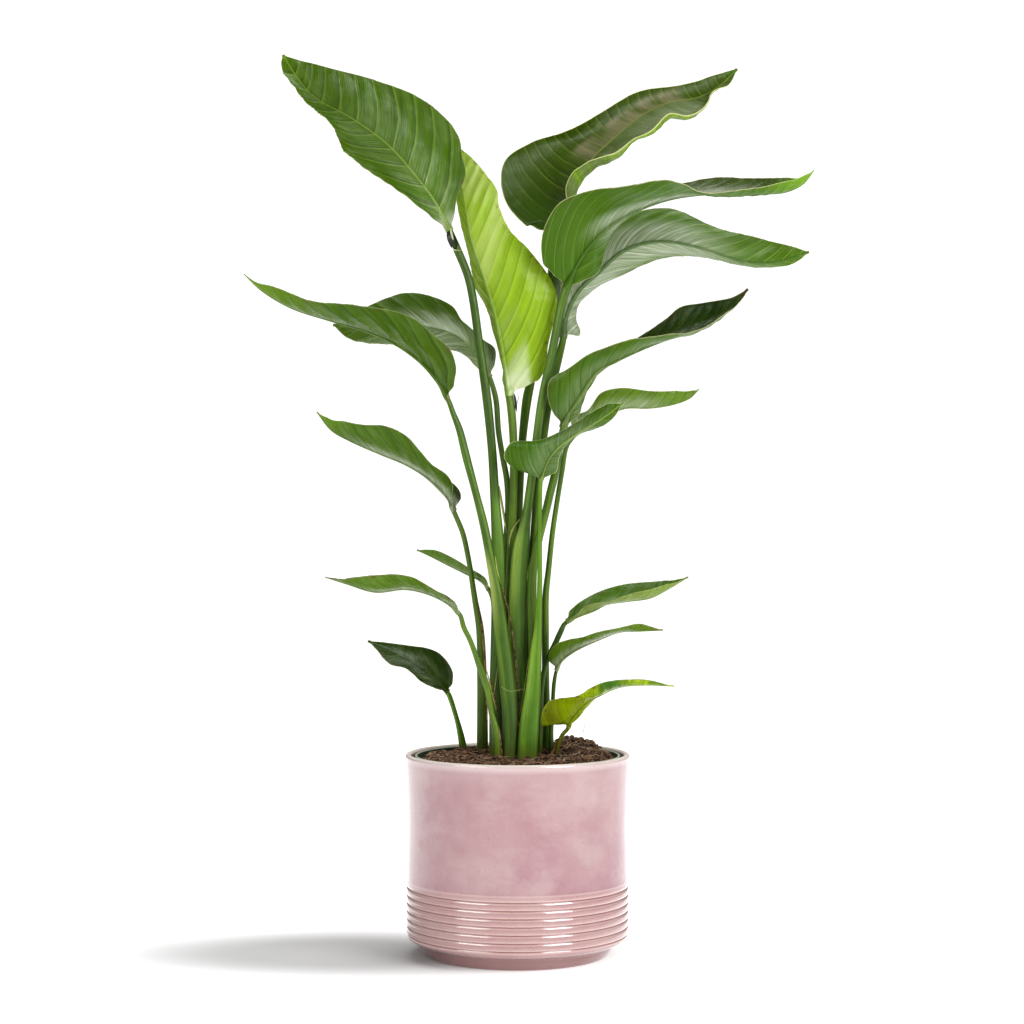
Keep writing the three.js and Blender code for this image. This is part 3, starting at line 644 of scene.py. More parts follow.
@dataclass
class Blade:
    """A leaf's blade: a thin pleated sheet with a raised rib on its underside. In mm."""

    leaf: Leaf
    look: LeafLook
    rows: int = 130
    half_columns: int = 24
    thickness: float = 0.7
    bend: float = 0.002
    base_swell: float = 0.08
    rim_step: float = 1.6
    rib_end_half: float = 0.7
    rib_taper: float = 0.22
    rib_swell: float = 0.26
    rib_end_height: float = 0.3
    rib_relief: float = 0.42
    root_height: float = 0.4
    wave_length: float = 58.0
    drift_size: float = 45.0
    pleat_size: float = 60.0
    vein_sway: float = 4
    vein_size: float = 70.0
    wrinkle: float = 0.35
    wrinkle_size: float = 11.0
    over_rib: Point = (0.0, 0.35, 0.65, 0.88, 1.0)
    at_rim: Point = (0.5, 0.0)

    def share_of(self, even: np.ndarray) -> np.ndarray:
        """Spaces rows closer together near the ends."""
        return EVEN_ROWS * even + (1 - EVEN_ROWS) * (1 - np.cos(math.pi * even)) / 2

    def centre_at(self, u: np.ndarray) -> np.ndarray:
        """Gives the midrib's places."""
        return seen(by_length(spots(self.leaf.rib), u), along(self.leaf.depth, u))

    def forward_at(self, u: np.ndarray, step: float = 0.01) -> np.ndarray:
        """Gives the midrib's direction, from base to tip."""
        ahead, behind = np.minimum(u + step, 1), np.maximum(u - step, 0)
        return unit(self.centre_at(ahead) - self.centre_at(behind))

    def edge_at(self, u: np.ndarray, turn: int) -> np.ndarray:
        """Gives the way from the midrib to a margin: the left where turn is 1, else the right."""
        line, beyond, pace = self.leaf.margin(turn)
        depths = along(self.leaf.depth, u) + along(beyond, u)
        return seen(by_length(line, u**pace), depths) - self.centre_at(u)

    def shaped_edges(self, u: np.ndarray) -> tuple[np.ndarray, np.ndarray, np.ndarray]:
        """Gives both margins' ways with the ends squared and opened, and how far each row is free.

        Args:
            u: The rows' shares along the midrib.

        Returns:
            The ways to the left margin, to the right margin, and the shares, 0 at the ends.
        """
        rows = self.leaf.rows
        steps = self.share_of(np.array([1.0, 2.0, rows - 2.0, rows - 1.0]) / rows)
        edges = {turn: self.edge_at(u, turn) for turn in (1, -1)}
        free = np.ones(len(u))
        ends = (
            (u, 0.0, steps[0], steps[1], self.leaf.top_width() * STALK_TOP_SHARE),
            (1 - u, 1.0, 1 - steps[3], 1 - steps[2], BLADE_END_HALF),
        )
        for away, end, near, far, half in ends:
            beside = np.array([abs(end - near)])
            across = self.edge_at(beside, 1) - self.edge_at(beside, -1)
            forward = self.forward_at(np.array([end]))
            across = unit(across - forward * np.sum(across * forward))
            closed = (1 - ramp(away, near, far))[:, None]
            settled = ramp(away, 0.0, near)[:, None]
            free = free * settled[:, 0]
            for turn, way in edges.items():
                long = np.maximum(np.linalg.norm(way, axis=1, keepdims=True), half * closed)
                opened = unit(unit(way) + END_OPENING * closed * across * turn)
                if end == 1.0:
                    edges[turn] = unit(across * turn * (1 - settled) + opened * settled) * long
                else:
                    edges[turn] = across * turn * half * (1 - settled) + opened * long * settled
        return edges[1], edges[-1], free

    def rib_half(self, u: np.ndarray) -> np.ndarray:
        """Gives half the rib's width, in mm."""
        swell = self.rib_swell * (1 - ramp(u, 0.0, self.base_swell))
        return self.rib_end_half + self.leaf.top_width() * (self.rib_taper * (1 - u) + swell)

    def rib_height(self, u: np.ndarray) -> np.ndarray:
        """Gives how far the rib stands out below the underside, in mm."""
        width = self.leaf.top_width()
        swell = self.root_height * width * (1 - ramp(u, 0.0, self.base_swell))
        return self.rib_end_height + self.rib_relief * width * (1 - u) ** 2 + swell

    def middle(self) -> dict[str, np.ndarray]:
        """Works out the blade's middle surface.

        Returns:
            places in rows by columns from the left margin to the right, and for each of
            them the distance from the midrib (left negative), the distance along the
            midrib, the distance to the margin, the rib's relief, and the share of a half.
        """
        u = self.share_of(np.linspace(0, 1, self.rows + 1))
        centre = self.centre_at(u)
        forward = self.forward_at(u)
        left, right, free = self.shaped_edges(u)
        rib_half = self.rib_half(u)
        parts: dict[str, list[np.ndarray]] = {}
        for turn, edge in ((1, left), (-1, right)):
            width = np.linalg.norm(edge, axis=1)
            under = -turn * unit(np.cross(forward, edge))
            shares = self.column_shares(width, rib_half)
            bulge = self.leaf.cup * width * free
            out, up = self.rolled(u, shares, width, turn)
            lift = up - bulge[:, None] * 4 * shares * (1 - shares)
            places = centre[:, None] + edge[:, None] * out[..., None]
            off = shares * width[:, None]
            nearness = np.clip(off / rib_half[:, None], 0, 1)
            fields = {
                "places": places - under[:, None] * lift[..., None],
                "across": -turn * off,
                "edge": (1 - shares) * width[:, None],
                "share": shares,
                "relief": np.sqrt(1 - nearness**2) * self.rib_height(u)[:, None],
            }
            for key, values in fields.items():
                parts.setdefault(key, []).append(values[:, ::-1] if turn > 0 else values[:, 1:])
        full = {key: np.concatenate(pair, axis=1) for key, pair in parts.items()}
        for key, values in (("along", length_to(centre)), ("free", free), ("u", u)):
            full[key] = np.repeat(values[:, None], full["share"].shape[1], axis=1)
        return full

    def rolled(
        self, u: np.ndarray, shares: np.ndarray, width: np.ndarray, turn: int
    ) -> tuple[np.ndarray, np.ndarray]:
        """Rolls the margins that the look says are rolled over.

        Args:
            u: The rows' shares along the midrib.
            shares: Rows by columns of shares of the half's width.
            width: The half's width in each row, in mm.
            turn: 1 for the left half, -1 for the right.

        Returns:
            The share that each place lies out at, and its lift to the upper face, in mm.
        """
        out, up = shares.copy(), np.zeros_like(shares)
        for curl in self.look.curls:
            if curl.half.value != turn:
                continue
            fade = curl.fade * (curl.end - curl.start)
            here = ramp(u, curl.start, curl.start + fade) * (1 - ramp(u, curl.end - fade, curl.end))
            rolls = along(curl.shares, (u - curl.start) / (curl.end - curl.start))[:, None]
            angle = (curl.turn * here)[:, None] * np.clip((shares - 1 + rolls) / rolls, 0, 1)
            beyond = shares > 1 - rolls
            round_it = 1 - rolls + rolls * np.sin(np.minimum(angle, math.pi * 1.2))
            amount = ramp(here, 0.0, 0.6)[:, None]
            out = np.where(beyond, shares * (1 - amount) + round_it * amount, out)
            lift = rolls * width[:, None] * (1 - np.cos(angle)) * curl.thickness
            up = np.where(beyond, lift, up)
        return out, up

    def column_shares(self, width: np.ndarray, rib_half: np.ndarray) -> np.ndarray:
        """Spaces a half's columns: a few over the rib, two beside the margin, the rest even."""
        near = np.minimum(rib_half / np.maximum(width, 1e-6), 0.4)[:, None]
        rim = np.minimum(self.rim_step / np.maximum(width, 1e-6), 0.2)[:, None]
        count = self.half_columns - len(self.over_rib) - len(self.at_rim)
        between = near + (1 - rim - near) * (np.arange(1, count + 1) / count)
        spans = (near * np.array(self.over_rib), between, 1 - rim * np.array(self.at_rim))
        return np.concatenate(spans, axis=1)

    @staticmethod
    def normals(places: np.ndarray) -> np.ndarray:
        """Gives the upper face's normals at rows by columns of places."""
        return unit(np.cross(np.gradient(places, axis=0), -np.gradient(places, axis=1)))

    def moved(self, field: dict[str, np.ndarray], shift: float) -> np.ndarray:
        """Adds pleats, waves and small wrinkles to the middle surface.

        Args:
            field: What middle() gives, with each place's side vein as "line".
            shift: Where in the noise this leaf lies.

        Returns:
            The moved places.
        """
        places, look, line = field["places"], self.look, field["line"]
        drift = ripple(places, self.drift_size, shift)
        body = ramp(np.abs(field["across"]), 1.0, 9.0) * field["free"]
        rim = ramp(field["edge"], 0.0, 6.0)
        to_groove = np.abs(line / look.pitch - np.round(line / look.pitch)) * 2
        pleat = 1 - (1 - to_groove) ** 2.2
        small = np.sin(FULL_TURN * line / (look.pitch / 3))
        strength = 0.75 + 0.35 * ripple(places, self.pleat_size, shift + 5)
        height = look.pleat * body * ((pleat - 0.6) * strength * (0.45 + 0.55 * rim) + 0.12 * small)
        phase = FULL_TURN * field["along"] / self.wave_length + shift * 2
        waves = 0.6 * np.sin(phase + np.sign(field["across"])) + 0.8 * drift
        height = height + look.wave * field["share"] ** 2 * field["free"] * waves
        height = height + self.wrinkle * body * ripple(places, self.wrinkle_size, shift + 9)
        return places + self.normals(places) * height[..., None]

    def build(self, shift: float) -> bpy.types.Object:
        """Makes the blade.

        Args:
            shift: Where in the noise this leaf lies.

        Returns:
            The piece, with its UV map in tenths of a metre, from the midrib and from side
            vein to side vein, and the attribute "leaf": the side, the rib, the distance to
            the margin and the share of the way to the tip.
        """
        field = self.middle()
        off = np.abs(field["across"])
        vein = field["along"] - self.look.lean * off - self.bend * off**2
        field["line"] = vein + self.vein_sway * ripple(field["places"], self.vein_size, shift + 3)
        places = self.moved(field, shift)
        normals = self.normals(places)
        upper = places + normals * (self.thickness / 2)
        uv = np.stack([field["across"], field["line"]], -1) / UV_STEP
        piece = grid_piece("leaf_blade_" + self.leaf.name, upper, uv)
        count = len(piece.data.vertices)
        apply_modifier(piece, "SOLIDIFY", thickness=self.thickness * MM, offset=-1.0)
        shape = get_places(piece)
        deep = self.thickness + field["relief"].ravel()
        shape[count:] = shape[:count] - normals.reshape(-1, 3) * deep[:, None]
        set_places(piece, shape)
        on_rib = 1 - ramp(off / self.rib_half(field["u"]), 0.55, 1.15)
        faces = np.repeat([Face.UPPER.value, Face.UNDER.value], count)
        marks = (on_rib, np.clip(field["edge"] / 10.0, 0, 1), field["u"])
        values = np.stack([faces, *(np.tile(mark.ravel(), 2) for mark in marks)], -1)
        layer = piece.data.color_attributes.new(name="leaf", type="FLOAT_COLOR", domain="POINT")
        layer.data.foreach_set("color", values.astype(np.float32).ravel())
        return piece


@dataclass
class Stalk:
    """A leaf's stalk: an oval stem that widens to a sheath and goes down into the soil."""

    leaf: Leaf
    rings: int = 130
    sides: int = 24
    neck: float = 0.04
    flutes: int = 7
    flute_depth: float = 0.018
    ring_depth: float = 0.012
    ring_length: float = 37

    def route(self) -> tuple[np.ndarray, np.ndarray, np.ndarray]:
        """Gives the points that the stalk follows, its width at each, and the blade's way."""
        blade = Blade(self.leaf, LOOKS[self.leaf.name])
        start = np.array([0.0])
        forward = blade.forward_at(start)[0]
        left = blade.shaped_edges(np.array([0.0, 0.5]))[0]
        under = unit(np.cross(left[0], forward))
        table = self.leaf.stalk_table()
        width = table[0, 3]
        top = blade.centre_at(start)[0] + under * width * STALK_DROP_SHARE + forward * 0.8
        lower = seen(table[1:, :2], table[1:, 2])
        foot = lower[-1] * np.array([1, 1, 0]) + np.array([0, 0, STALK_FOOT_Z])
        onward = unit(lower[0] - top)
        bend = top - forward * width * (1 - STALK_TURN_SHARE) + onward * width * STALK_TURN_SHARE
        points = np.vstack([top, bend, lower, foot])
        return points, np.concatenate([[width, width], table[1:, 3], table[-1:, 3]]), forward

    def sections(self) -> tuple[np.ndarray, np.ndarray, np.ndarray]:
        """Gives the centre line, the widths and the directions at every ring."""
        points, widths, forward = self.route()
        t = np.linspace(0, 1, self.rings)
        centre = through(points, t)
        settled = ramp(t, 0, self.neck)[:, None]
        down = unit(np.gradient(centre, axis=0))
        return centre, along(tuple(widths), t), unit(-forward * (1 - settled) + down * settled)

    def girth(self) -> float:
        """Gives the way round the stalk, on average, in units of its UV map."""
        return math.pi * float(np.mean(self.sections()[1])) / UV_STEP

    def build(self, shift: float) -> bpy.types.Object:
        """Makes the stalk.

        Args:
            shift: Where in the noise this stalk lies.

        Returns:
            The piece. Its UV map gives the share of a turn, from the right side by the
            front, and tenths of a metre down it.
        """
        centre, wide, down = self.sections()
        side = unit(np.array([1.0, 0, 0]) - down * down[:, :1])
        turn = np.linspace(0, FULL_TURN, self.sides, endpoint=False)
        run = length_to(centre)
        flutes = self.flute_depth * np.sin(self.flutes * turn + shift)[None]
        rings = self.ring_depth * np.sin(run / self.ring_length + shift)[:, None]
        uneven = 1 + flutes + rings
        x = np.cos(turn)[None] * (wide / 2)[:, None] * uneven
        y = np.sin(turn)[None] * (np.minimum(wide, SHEATH_THICKNESS) / 2)[:, None] * uneven
        flat, name = np.stack([x, y], -1), "leaf_stalk_" + self.leaf.name
        return tube_piece(name, centre, side, np.cross(down, side), flat, run / UV_STEP)


LEAVES: tuple[Leaf, ...] = (
    Leaf(
        "top_left", 13, 0.08, (-8, -12, -2, 28, 62), (-30, -42, -30), (-10, -18, -12),
        "450,231 437,205 418,179 389,146 354,120 314,97 296,76 283,55",
        "431,216 404,195 376,175 354,160 344,151 334,128 315,109 300,95 287,76 281,61",
        "453,222 457,198 466,176 462,155 457,134 441,113 410,93 375,80 326,67 290,57",
        "450,231,-8,7 457,249,-8,8 469,280,-7,8 480,350,-5,8.5 487,400,-4,9 492,450,-2,8.5 "
        "495,500,0,9.5 498,550,2,13 498,620,2,14 496,690,2,13 495,760,2,12",
    ),
    Leaf(
        "top_centre", 13, 0.08, (10, 8, 6, 14, 25), (3, 4, 3), (30, 46, 34),
        "510,396 504,356 496,317 484,277 472,242 465,205 460,172 458,146",
        "529,388 543,373 549,341 557,300 553,283 530,252 509,228 499,206 497,190 487,175 472,158",
        "505.5,389 502.5,373 496,337 488,309 476,287 469,250 461,218 457,203 457,175",
        "510,396,8,8 511.5,411,8,8.3 513.5,440,8,8 513.5,500,9,8 511,560,12,9 508,650,14,10 "
        "506,760,14,10",
    ),
    Leaf(
        "mid_left", 12, 0.1, (-15, -38, -66, -88, -100), (-22, -30, -22), (20, 28, 20),
        "449,398 440,384 423,364 397,345 366,331 328,320 291,308 262,291 244,274",
        "456,386 457,373 451,351 437,337 414,319 384,309 347,305 310,300 269,285 253,280",
        "452,382 441,355 414,332 384,319 347,312 310,305 275,292",
        "449,399,-15,5 453,413,-15,5.5 459.5,430,-15,7 466,456,-15,8 476,494,-15,7.5 "
        "484,526,-15,8.5 490,557,-15,9 496,590,-15,11 501,630,-15,14 507,680,-16,16 "
        "510,720,-18,15 509,765,-20,11",
    ),
    Leaf(
        "mid_left_rear", 11, 0.08, (13, 26, 50, 72, 88), (-10, -18, -14), (12, 24, 16),
        "490,377 476,355 459,337 440,329 410,325 380,326 352,327 333,325",
        "478,368 459,352 433,346 412,347 394,345 369,344 343,335",
        "494,369 495,349 484,340 472,329 462,321 453,307 431,296 407,293 381,300 355,313",
        "490,377,13,5 496,400,13,5.5 498.5,431,13,5.5 502.5,456,14,5.5 507,481,17,6 508,510,20,6 "
        "505,560,22,7 502,650,24,8 500,760,25,8",
    ),
    Leaf(
        "low_left", 10, 0.1, (30, 14, -8, -28, -42), (-16, -24, -16), (16, 24, 16),
        "455,511 449,499 439,488 424,475 405,464 380,454 350,441 331,430 317,412",
        "455,497 454,488 447,475 431,463 417,448 406,436 385,426 363,425 337,419",
        "461,504 462,496 456,486 440,474 418,457 398,443 370,434 340,425",
        "455,511,30,5 462.7,533,32,5.3 468.7,560,34,5.3 475,600,38,6 480,630,41,8 482,680,43,10 "
        "482,755,45,11",
    ),
    Leaf(
        "inner_left", 8, 0.12, (16, 54, 66, 72, 78), (-8, -11, -7), (8, 11, 7),
        "490,589 480,580 465,573 448,565 432,557 417,550",
        "487,579 475,572 459,562 441,552 428,549",
        "484,577 470,569 455,562 438,554",
        "490,589,13,4 493,602,14,4.5 494,650,15,6 493,760,16,6",
    ),
    Leaf(
        "lower_left", 9, 0.1, (-26, -46, -68, -88, -100), (-14, -18, -12), (12, 16, 12),
        "460,612 445,601 427,593 405,589 375,592 347,584 325,577",
        "459,605 443,595 429,587 413,578 395,574 373,576 349,578",
        "457,602 437,592 413,582 395,579 372,580",
        "460,612,-26,4.5 463.7,627,-25,5 470,640,-24,5 475,653,-24,5.3 480,667,-23,6.5 "
        "484.7,680,-22,6.7 488.3,693,-22,6 491.7,713,-21,6 496.3,733,-21,8 497,760,-20,9",
    ),
    Leaf(
        "lowest_left", 9, 0.08, (68, 74, 82, 90, 96), (-12, -18, -10), (8, 14, 8),
        "448,692 437,680 425,670 409,660 391,651 368,641",
        "443,690 433,686 419,679 403,667 390,661 379,650",
        "453,685 452,670 440,654 427,648 408,645 389,643",
        "448,692,68,5 457,720,69,5 461.7,740,70,7.3 464,757,70,8.5",
    ),
    Leaf(
        "top_right_rear", 13, 0.08, (44, 60, 84, 108, 128), (-8, -14, -10), (-28, -42, -28),
        "557,232 568,203 577,183 594,157 618,135 646,113 672,102 700,97 722,84 737,69",
        "550,238 541,237 521,222 507,204 501,180 506,159 530,143 559,134 597,115 637,92 681,85 "
        "714,76",
        "568,219 573,201 581,182 597,169 618,158 636,142 653,135 671,119 688,121 707,106 713,93 "
        "729,83",
        "557,232,44,8 554,258,44,9 548,300,43,9 537,345,36,9 530,385,28,9 527,400,25,9.5 "
        "522.5,440,19,8 519.5,490,17,8 518,540,19,8 518,600,21,9 518,680,22,10 518,760,22,10",
    ),
    Leaf(
        "right_upper", 14, 0.08, (-3, -12, -28, -46, -64), (22, 36, 28), (-14, -38, -34),
        "566,289 572,275 588,248 610,226 638,210 670,199 710,194 760,194 786,192 803,184 814,170",
        "579,283 598,273 606,248 624,218 652,193 682,184 710,179 750,178 790,177",
        "553,278 544,266 542,236 552,212 562,201 588,191 620,187 661,180 682,184 700,191 730,191 "
        "760,188 790,179",
        "566,289,-3,8.5 562,303,-3,9 552.5,350,-2,8.5 542,400,-2,8.5 536.5,440,-2,8.3 "
        "530,490,-2,8.5 525.8,520,-2,10 521,550,-1,17 518,600,0,19 517,660,0,19 518,720,-1,18 "
        "519,765,-2,16",
    ),
    Leaf(
        "right_middle", 13, 0.08, (11, 28, 42, 54, 60), (16, 32, 24), (14, 22, 18),
        "563,338 566,318 578,292 598,273 622,252 646,243 670,242 700,248 742,261 776,262 809,252",
        "575,341 576,325 576,309 590,294 610,280 642,266 670,256 694,256 722,260 750,267 777,266 "
        "799,260",
        "555,315 546,292 548,272 575,242 605,225 640,211 666,208 704,222 736,233 768,241 793,247",
        "563,338,11,7 558,360,11,8 549,400,10,8 543,440,9,8 537,490,9,7 534,530,10,7 "
        "532,570,11,8 530,650,12,9 530,760,13,9",
    ),
    Leaf(
        "right_lower", 12, 0.12, (-7, -22, -44, -68, -90), (20, 32, 24), (2, -12, -22),
        "563,428 567,417 580,397 598,371 616,361 640,350 663,341 681,335 701,326 725,312 748,289",
        "577,417 584,395 600,368 625,347 647,333 668,317 681,307 702,303 733,297",
        "552,412 548,395 550,380 569,368 589,354 607,347 634,338 661,336 688,333 717,320 740,303",
        "563,428,-7,7 555,474,-8,8 550,494,-8,8 547,507,-8,8 539,538,-6,8 535,557,-6,8 "
        "533,570,-6,8.5 532,600,-6,9 533,660,-5,9 534,760,-4,8",
    ),
    Leaf(
        "front_folded", 10, 0.08, (-18, -34, -48, -58, -64), (2, 8, 8), (6, 10, 8),
        "541,480 548,462 558,448 577,434 600,420 623,403",
        "556,472 560,455 576,436 592,429 611,420",
        "525,476 509,468 504,457 511,443 540,440 565,430 590,413 608,404",
        "541,480,-18,4 540,507,-18,4 539.7,545,-18,4.5 539.7,580,-18,5 538.5,620,-18,7 "
        "536,650,-18,11 533,690,-19,15 529,725,-20,19 527,765,-20,20", 0.65,
    ),
    Leaf(
        "rear_folded", 10, 0.1, (14, 12, 14, 20, 28), (12, 18, 14), (-10, -18, -14),
        "575,434 588,424 608,414 626,408 650,408 675,404 690,398 699,389",
        "581,420 595,406 612,396 640,394 669,395 688,391",
        "569,426 572,417 587,411 601,393 620,388 651,391 671,391",
        "575,434,14,4 567,446,15,4.5 562,472,16,5 557.4,500,18,5 552.6,532,20,5.2 "
        "548.5,570,22,5.7 545.8,595,23,6.7 545.4,630,24,7.3 546,700,25,8 547.5,740,25,12 "
        "547.5,760,25,12",
    ),
    Leaf(
        "lower_right", 9, 0.1, (12, 14, 24, 38, 52), (8, 12, 8), (-12, -16, -10),
        "566,621 577,616 594,610 606,604 628,601 650,598 670,588 688,577",
        "567,613 577,604 592,595 606,589 626,584 660,581",
        "576,612 590,605 610,601 631,594 650,589 670,583",
        "566,621,12,4.5 561,631,12,5.5 555,644,12,5.5 548,658,12,5 544,671,12,5 541,692,12,6 "
        "540,760,12,6.5",
    ),
    Leaf(
        "small_right", 9, 0.1, (11, -4, -24, -42, -56), (8, 12, 8), (-8, -12, -8),
        "556,670 561,661 574,651 598,640 620,632 641,631 663,630",
        "563,657 578,644 600,636 622,628 643,627",
        "549,663 549,653 556,644 568,640 582,638 600,632 618,628 640,624",
        "556,670,11,3.5 554,684,11,4 553,698,11,4 551,730,11,5 551,760,11,6",
    ),
    Leaf(
        "lowest_right", 10, 0.1, (-2, -20, -42, -62, -78), (10, 16, 10), (-4, -10, -8),
        "568,727 574,715 586,703 600,695 620,687 645,685 674,686",
        "578,718 587,706 600,692 620,684 648,682",
        "556,729 543,726 542,713 548,702 558,699 578,696 590,688 604,682 625,680 650,681",
        "568,727,-2,3.8 563,734,-2,4 559,743,-1,4.3 556,757,0,4.5",
    ),
)


LOOKS: dict[str, LeafLook] = {
    "top_left": LeafLook(
        "54761f", "7a9448", rib="a6ba62", pleat=2.6, pitch=25.0, lean=1.0, rib_share=0.7,
        veins=0.35, panels=0.9, sheen=0.12, sheen_reach=40.0, foot="c3c8b4",
    ),
    "top_centre": LeafLook(
        "7d9c30", "9ab83e", rib="84a04a", slot="leaf_young", line="bccb58", lean=1.4, veins=0.6,
        rib_share=0.7, panels=0.85, pleat=1.8, foot="d5dcb4",
        patches=(
            Patch(Half.LEFT, 1.0, 2.7, "c0cf7c", 0.5, 0.6),
            Patch(Half.LEFT, -0.35, 0.35, "dbe2c2", 0.7, 0.3),
        ),
    ),
    "mid_left": LeafLook(
        "415c18", "46641a", rib="6c8434", lean=1.7, panels=0.75, pleat=1.8, pitch=24.0,
        tip="67860c", tip_start=0.6,
    ),
    "mid_left_rear": LeafLook(
        "4b6a22", "8b9a76", rib="8b9a60", lean=1.3, panels=0.6, pitch=24.0, pleat=1.6,
        sheen=0.45, sheen_reach=30.0,
    ),
    "low_left": LeafLook(
        "2a4010", "4c6c24", rib="7b8f4a", lean=1.6, sheen=0.75, sheen_reach=12.0, panels=0.5,
        tip="63840e", tip_start=0.75,
    ),
    "inner_left": LeafLook(
        "4e6c22", "5d7d2a", rib="9aa65c", pleat=0.4, wave=0.6, pitch=9.0, sheen=0.4,
        sheen_reach=5.0,
    ),
    "lower_left": LeafLook(
        "30480f", "5d7c34", rib="8d9a5a", slot="leaf_old", margin="b0a87a", pitch=12.0, pleat=0.7,
        sheen=0.8, sheen_reach=9.0,
    ),
    "lowest_left": LeafLook(
        "2c4408", "3c5416", rib="4d6420", slot="leaf_old", gloss=0.08, wave=2.2, pitch=10.0,
        pleat=0.9, veins=0.25, panels=0.5,
    ),
    "top_right_rear": LeafLook(
        "445a1f", "86a82c", rib="b4bd5e", slot="leaf_old", brown=0.05, lean=0.6, pitch=12.0,
        pleat=0.9, gloss=0.24, veins=0.3, coating_and_sheen_patches=0.0, panels=0.6, rib_share=0.85,
        dry_margin=0.75, margin="d9dca0", tip="3f6a1c",
        curls=(
            Curl(
                Half.RIGHT, 0.06, 0.9, (0.25, 0.28, 0.22, 0.08, 0.05, 0.06, 0.08, 0.04, 0.06), 2.9
            ),
        ),
        patches=(
            # painted reflection: a brownish-grey patch beside the midrib on the left half
            Patch(Half.LEFT, 0.7, 2.3, "9a9076", 0.6, 0.34),
            Patch(Half.LEFT, -1.2, 0.5, "3c5a12", 0.7, 1.2),
            Patch(Half.RIGHT, -0.3, 2.8, "6f7d50", 0.8, 0.5),
        ),
    ),
    "right_upper": LeafLook(
        "4a5c38", "4a7016", rib="4c6c1e", margin="d2cda4", dry_margin=0.6, line="a6b684",
        lean=1.9, veins=0.35, sheen=0.85, sheen_reach=24.0, sheen_from=0.16, rib_share=0.7,
        coating_and_sheen_patches=0.05, tip="78a022", tip_start=0.8,
    ),
    "right_middle": LeafLook(
        "5f7834", "507418", rib="3f6016", margin="d0cca0", dry_margin=0.6, line="b2bf94",
        lean=1.8, sheen=1.0, sheen_reach=36.0, rib_share=0.8,
    ),
    "right_lower": LeafLook(
        "1c3a02", "4a6e18", rib="7d9048", gloss=0.08, margin="c8c498", dry_margin=0.5, lean=1.7,
        sheen=0.2, sheen_reach=20.0, tip="4a3a1a", panels=0.6, coating_and_sheen_patches=0.05,
    ),
    "front_folded": LeafLook(
        "4f6a20", "466c12", rib="94a850", pleat=0.8, pitch=14.0, sheen=0.2, panels=0.6,
        margin="d3d6ae", dry_margin=0.6, coating_and_sheen_patches=0.1,
    ),
    "rear_folded": LeafLook(
        "42601c", "607e26", rib="a6b070", pleat=0.8, pitch=14.0, sheen=0.45, panels=0.6,
        margin="c9cea2", dry_margin=0.5,
    ),
    "lower_right": LeafLook(
        "4b7412", "84986a", rib="a0ae60", pleat=0.5, wave=0.7, pitch=10.0, sheen=0.12,
        sheen_reach=8.0,
    ),
    "small_right": LeafLook(
        "4d6a22", "6b8a3c", rib="b0b884", pleat=0.6, wave=0.8, pitch=10.0, sheen=0.8,
        sheen_reach=12.0,
    ),
    "lowest_right": LeafLook(
        "aabf12", "bccf1c", rib="c6ca50", slot="leaf_yellow", brown=0.15, pitch=11.0, pleat=0.9,
        veins=0.3,
        patches=(
            Patch(Half.RIGHT, -0.35, 0.12, "5f5420", 0.6, 0.5),
            Patch(Half.RIGHT, 0.34, 3.0, "4a7420", 1.0, 0.6),
            Patch(Half.LEFT, 0.38, 3.0, "4a7420", 0.9, 0.6),
        ),
    ),
}


# Finishes


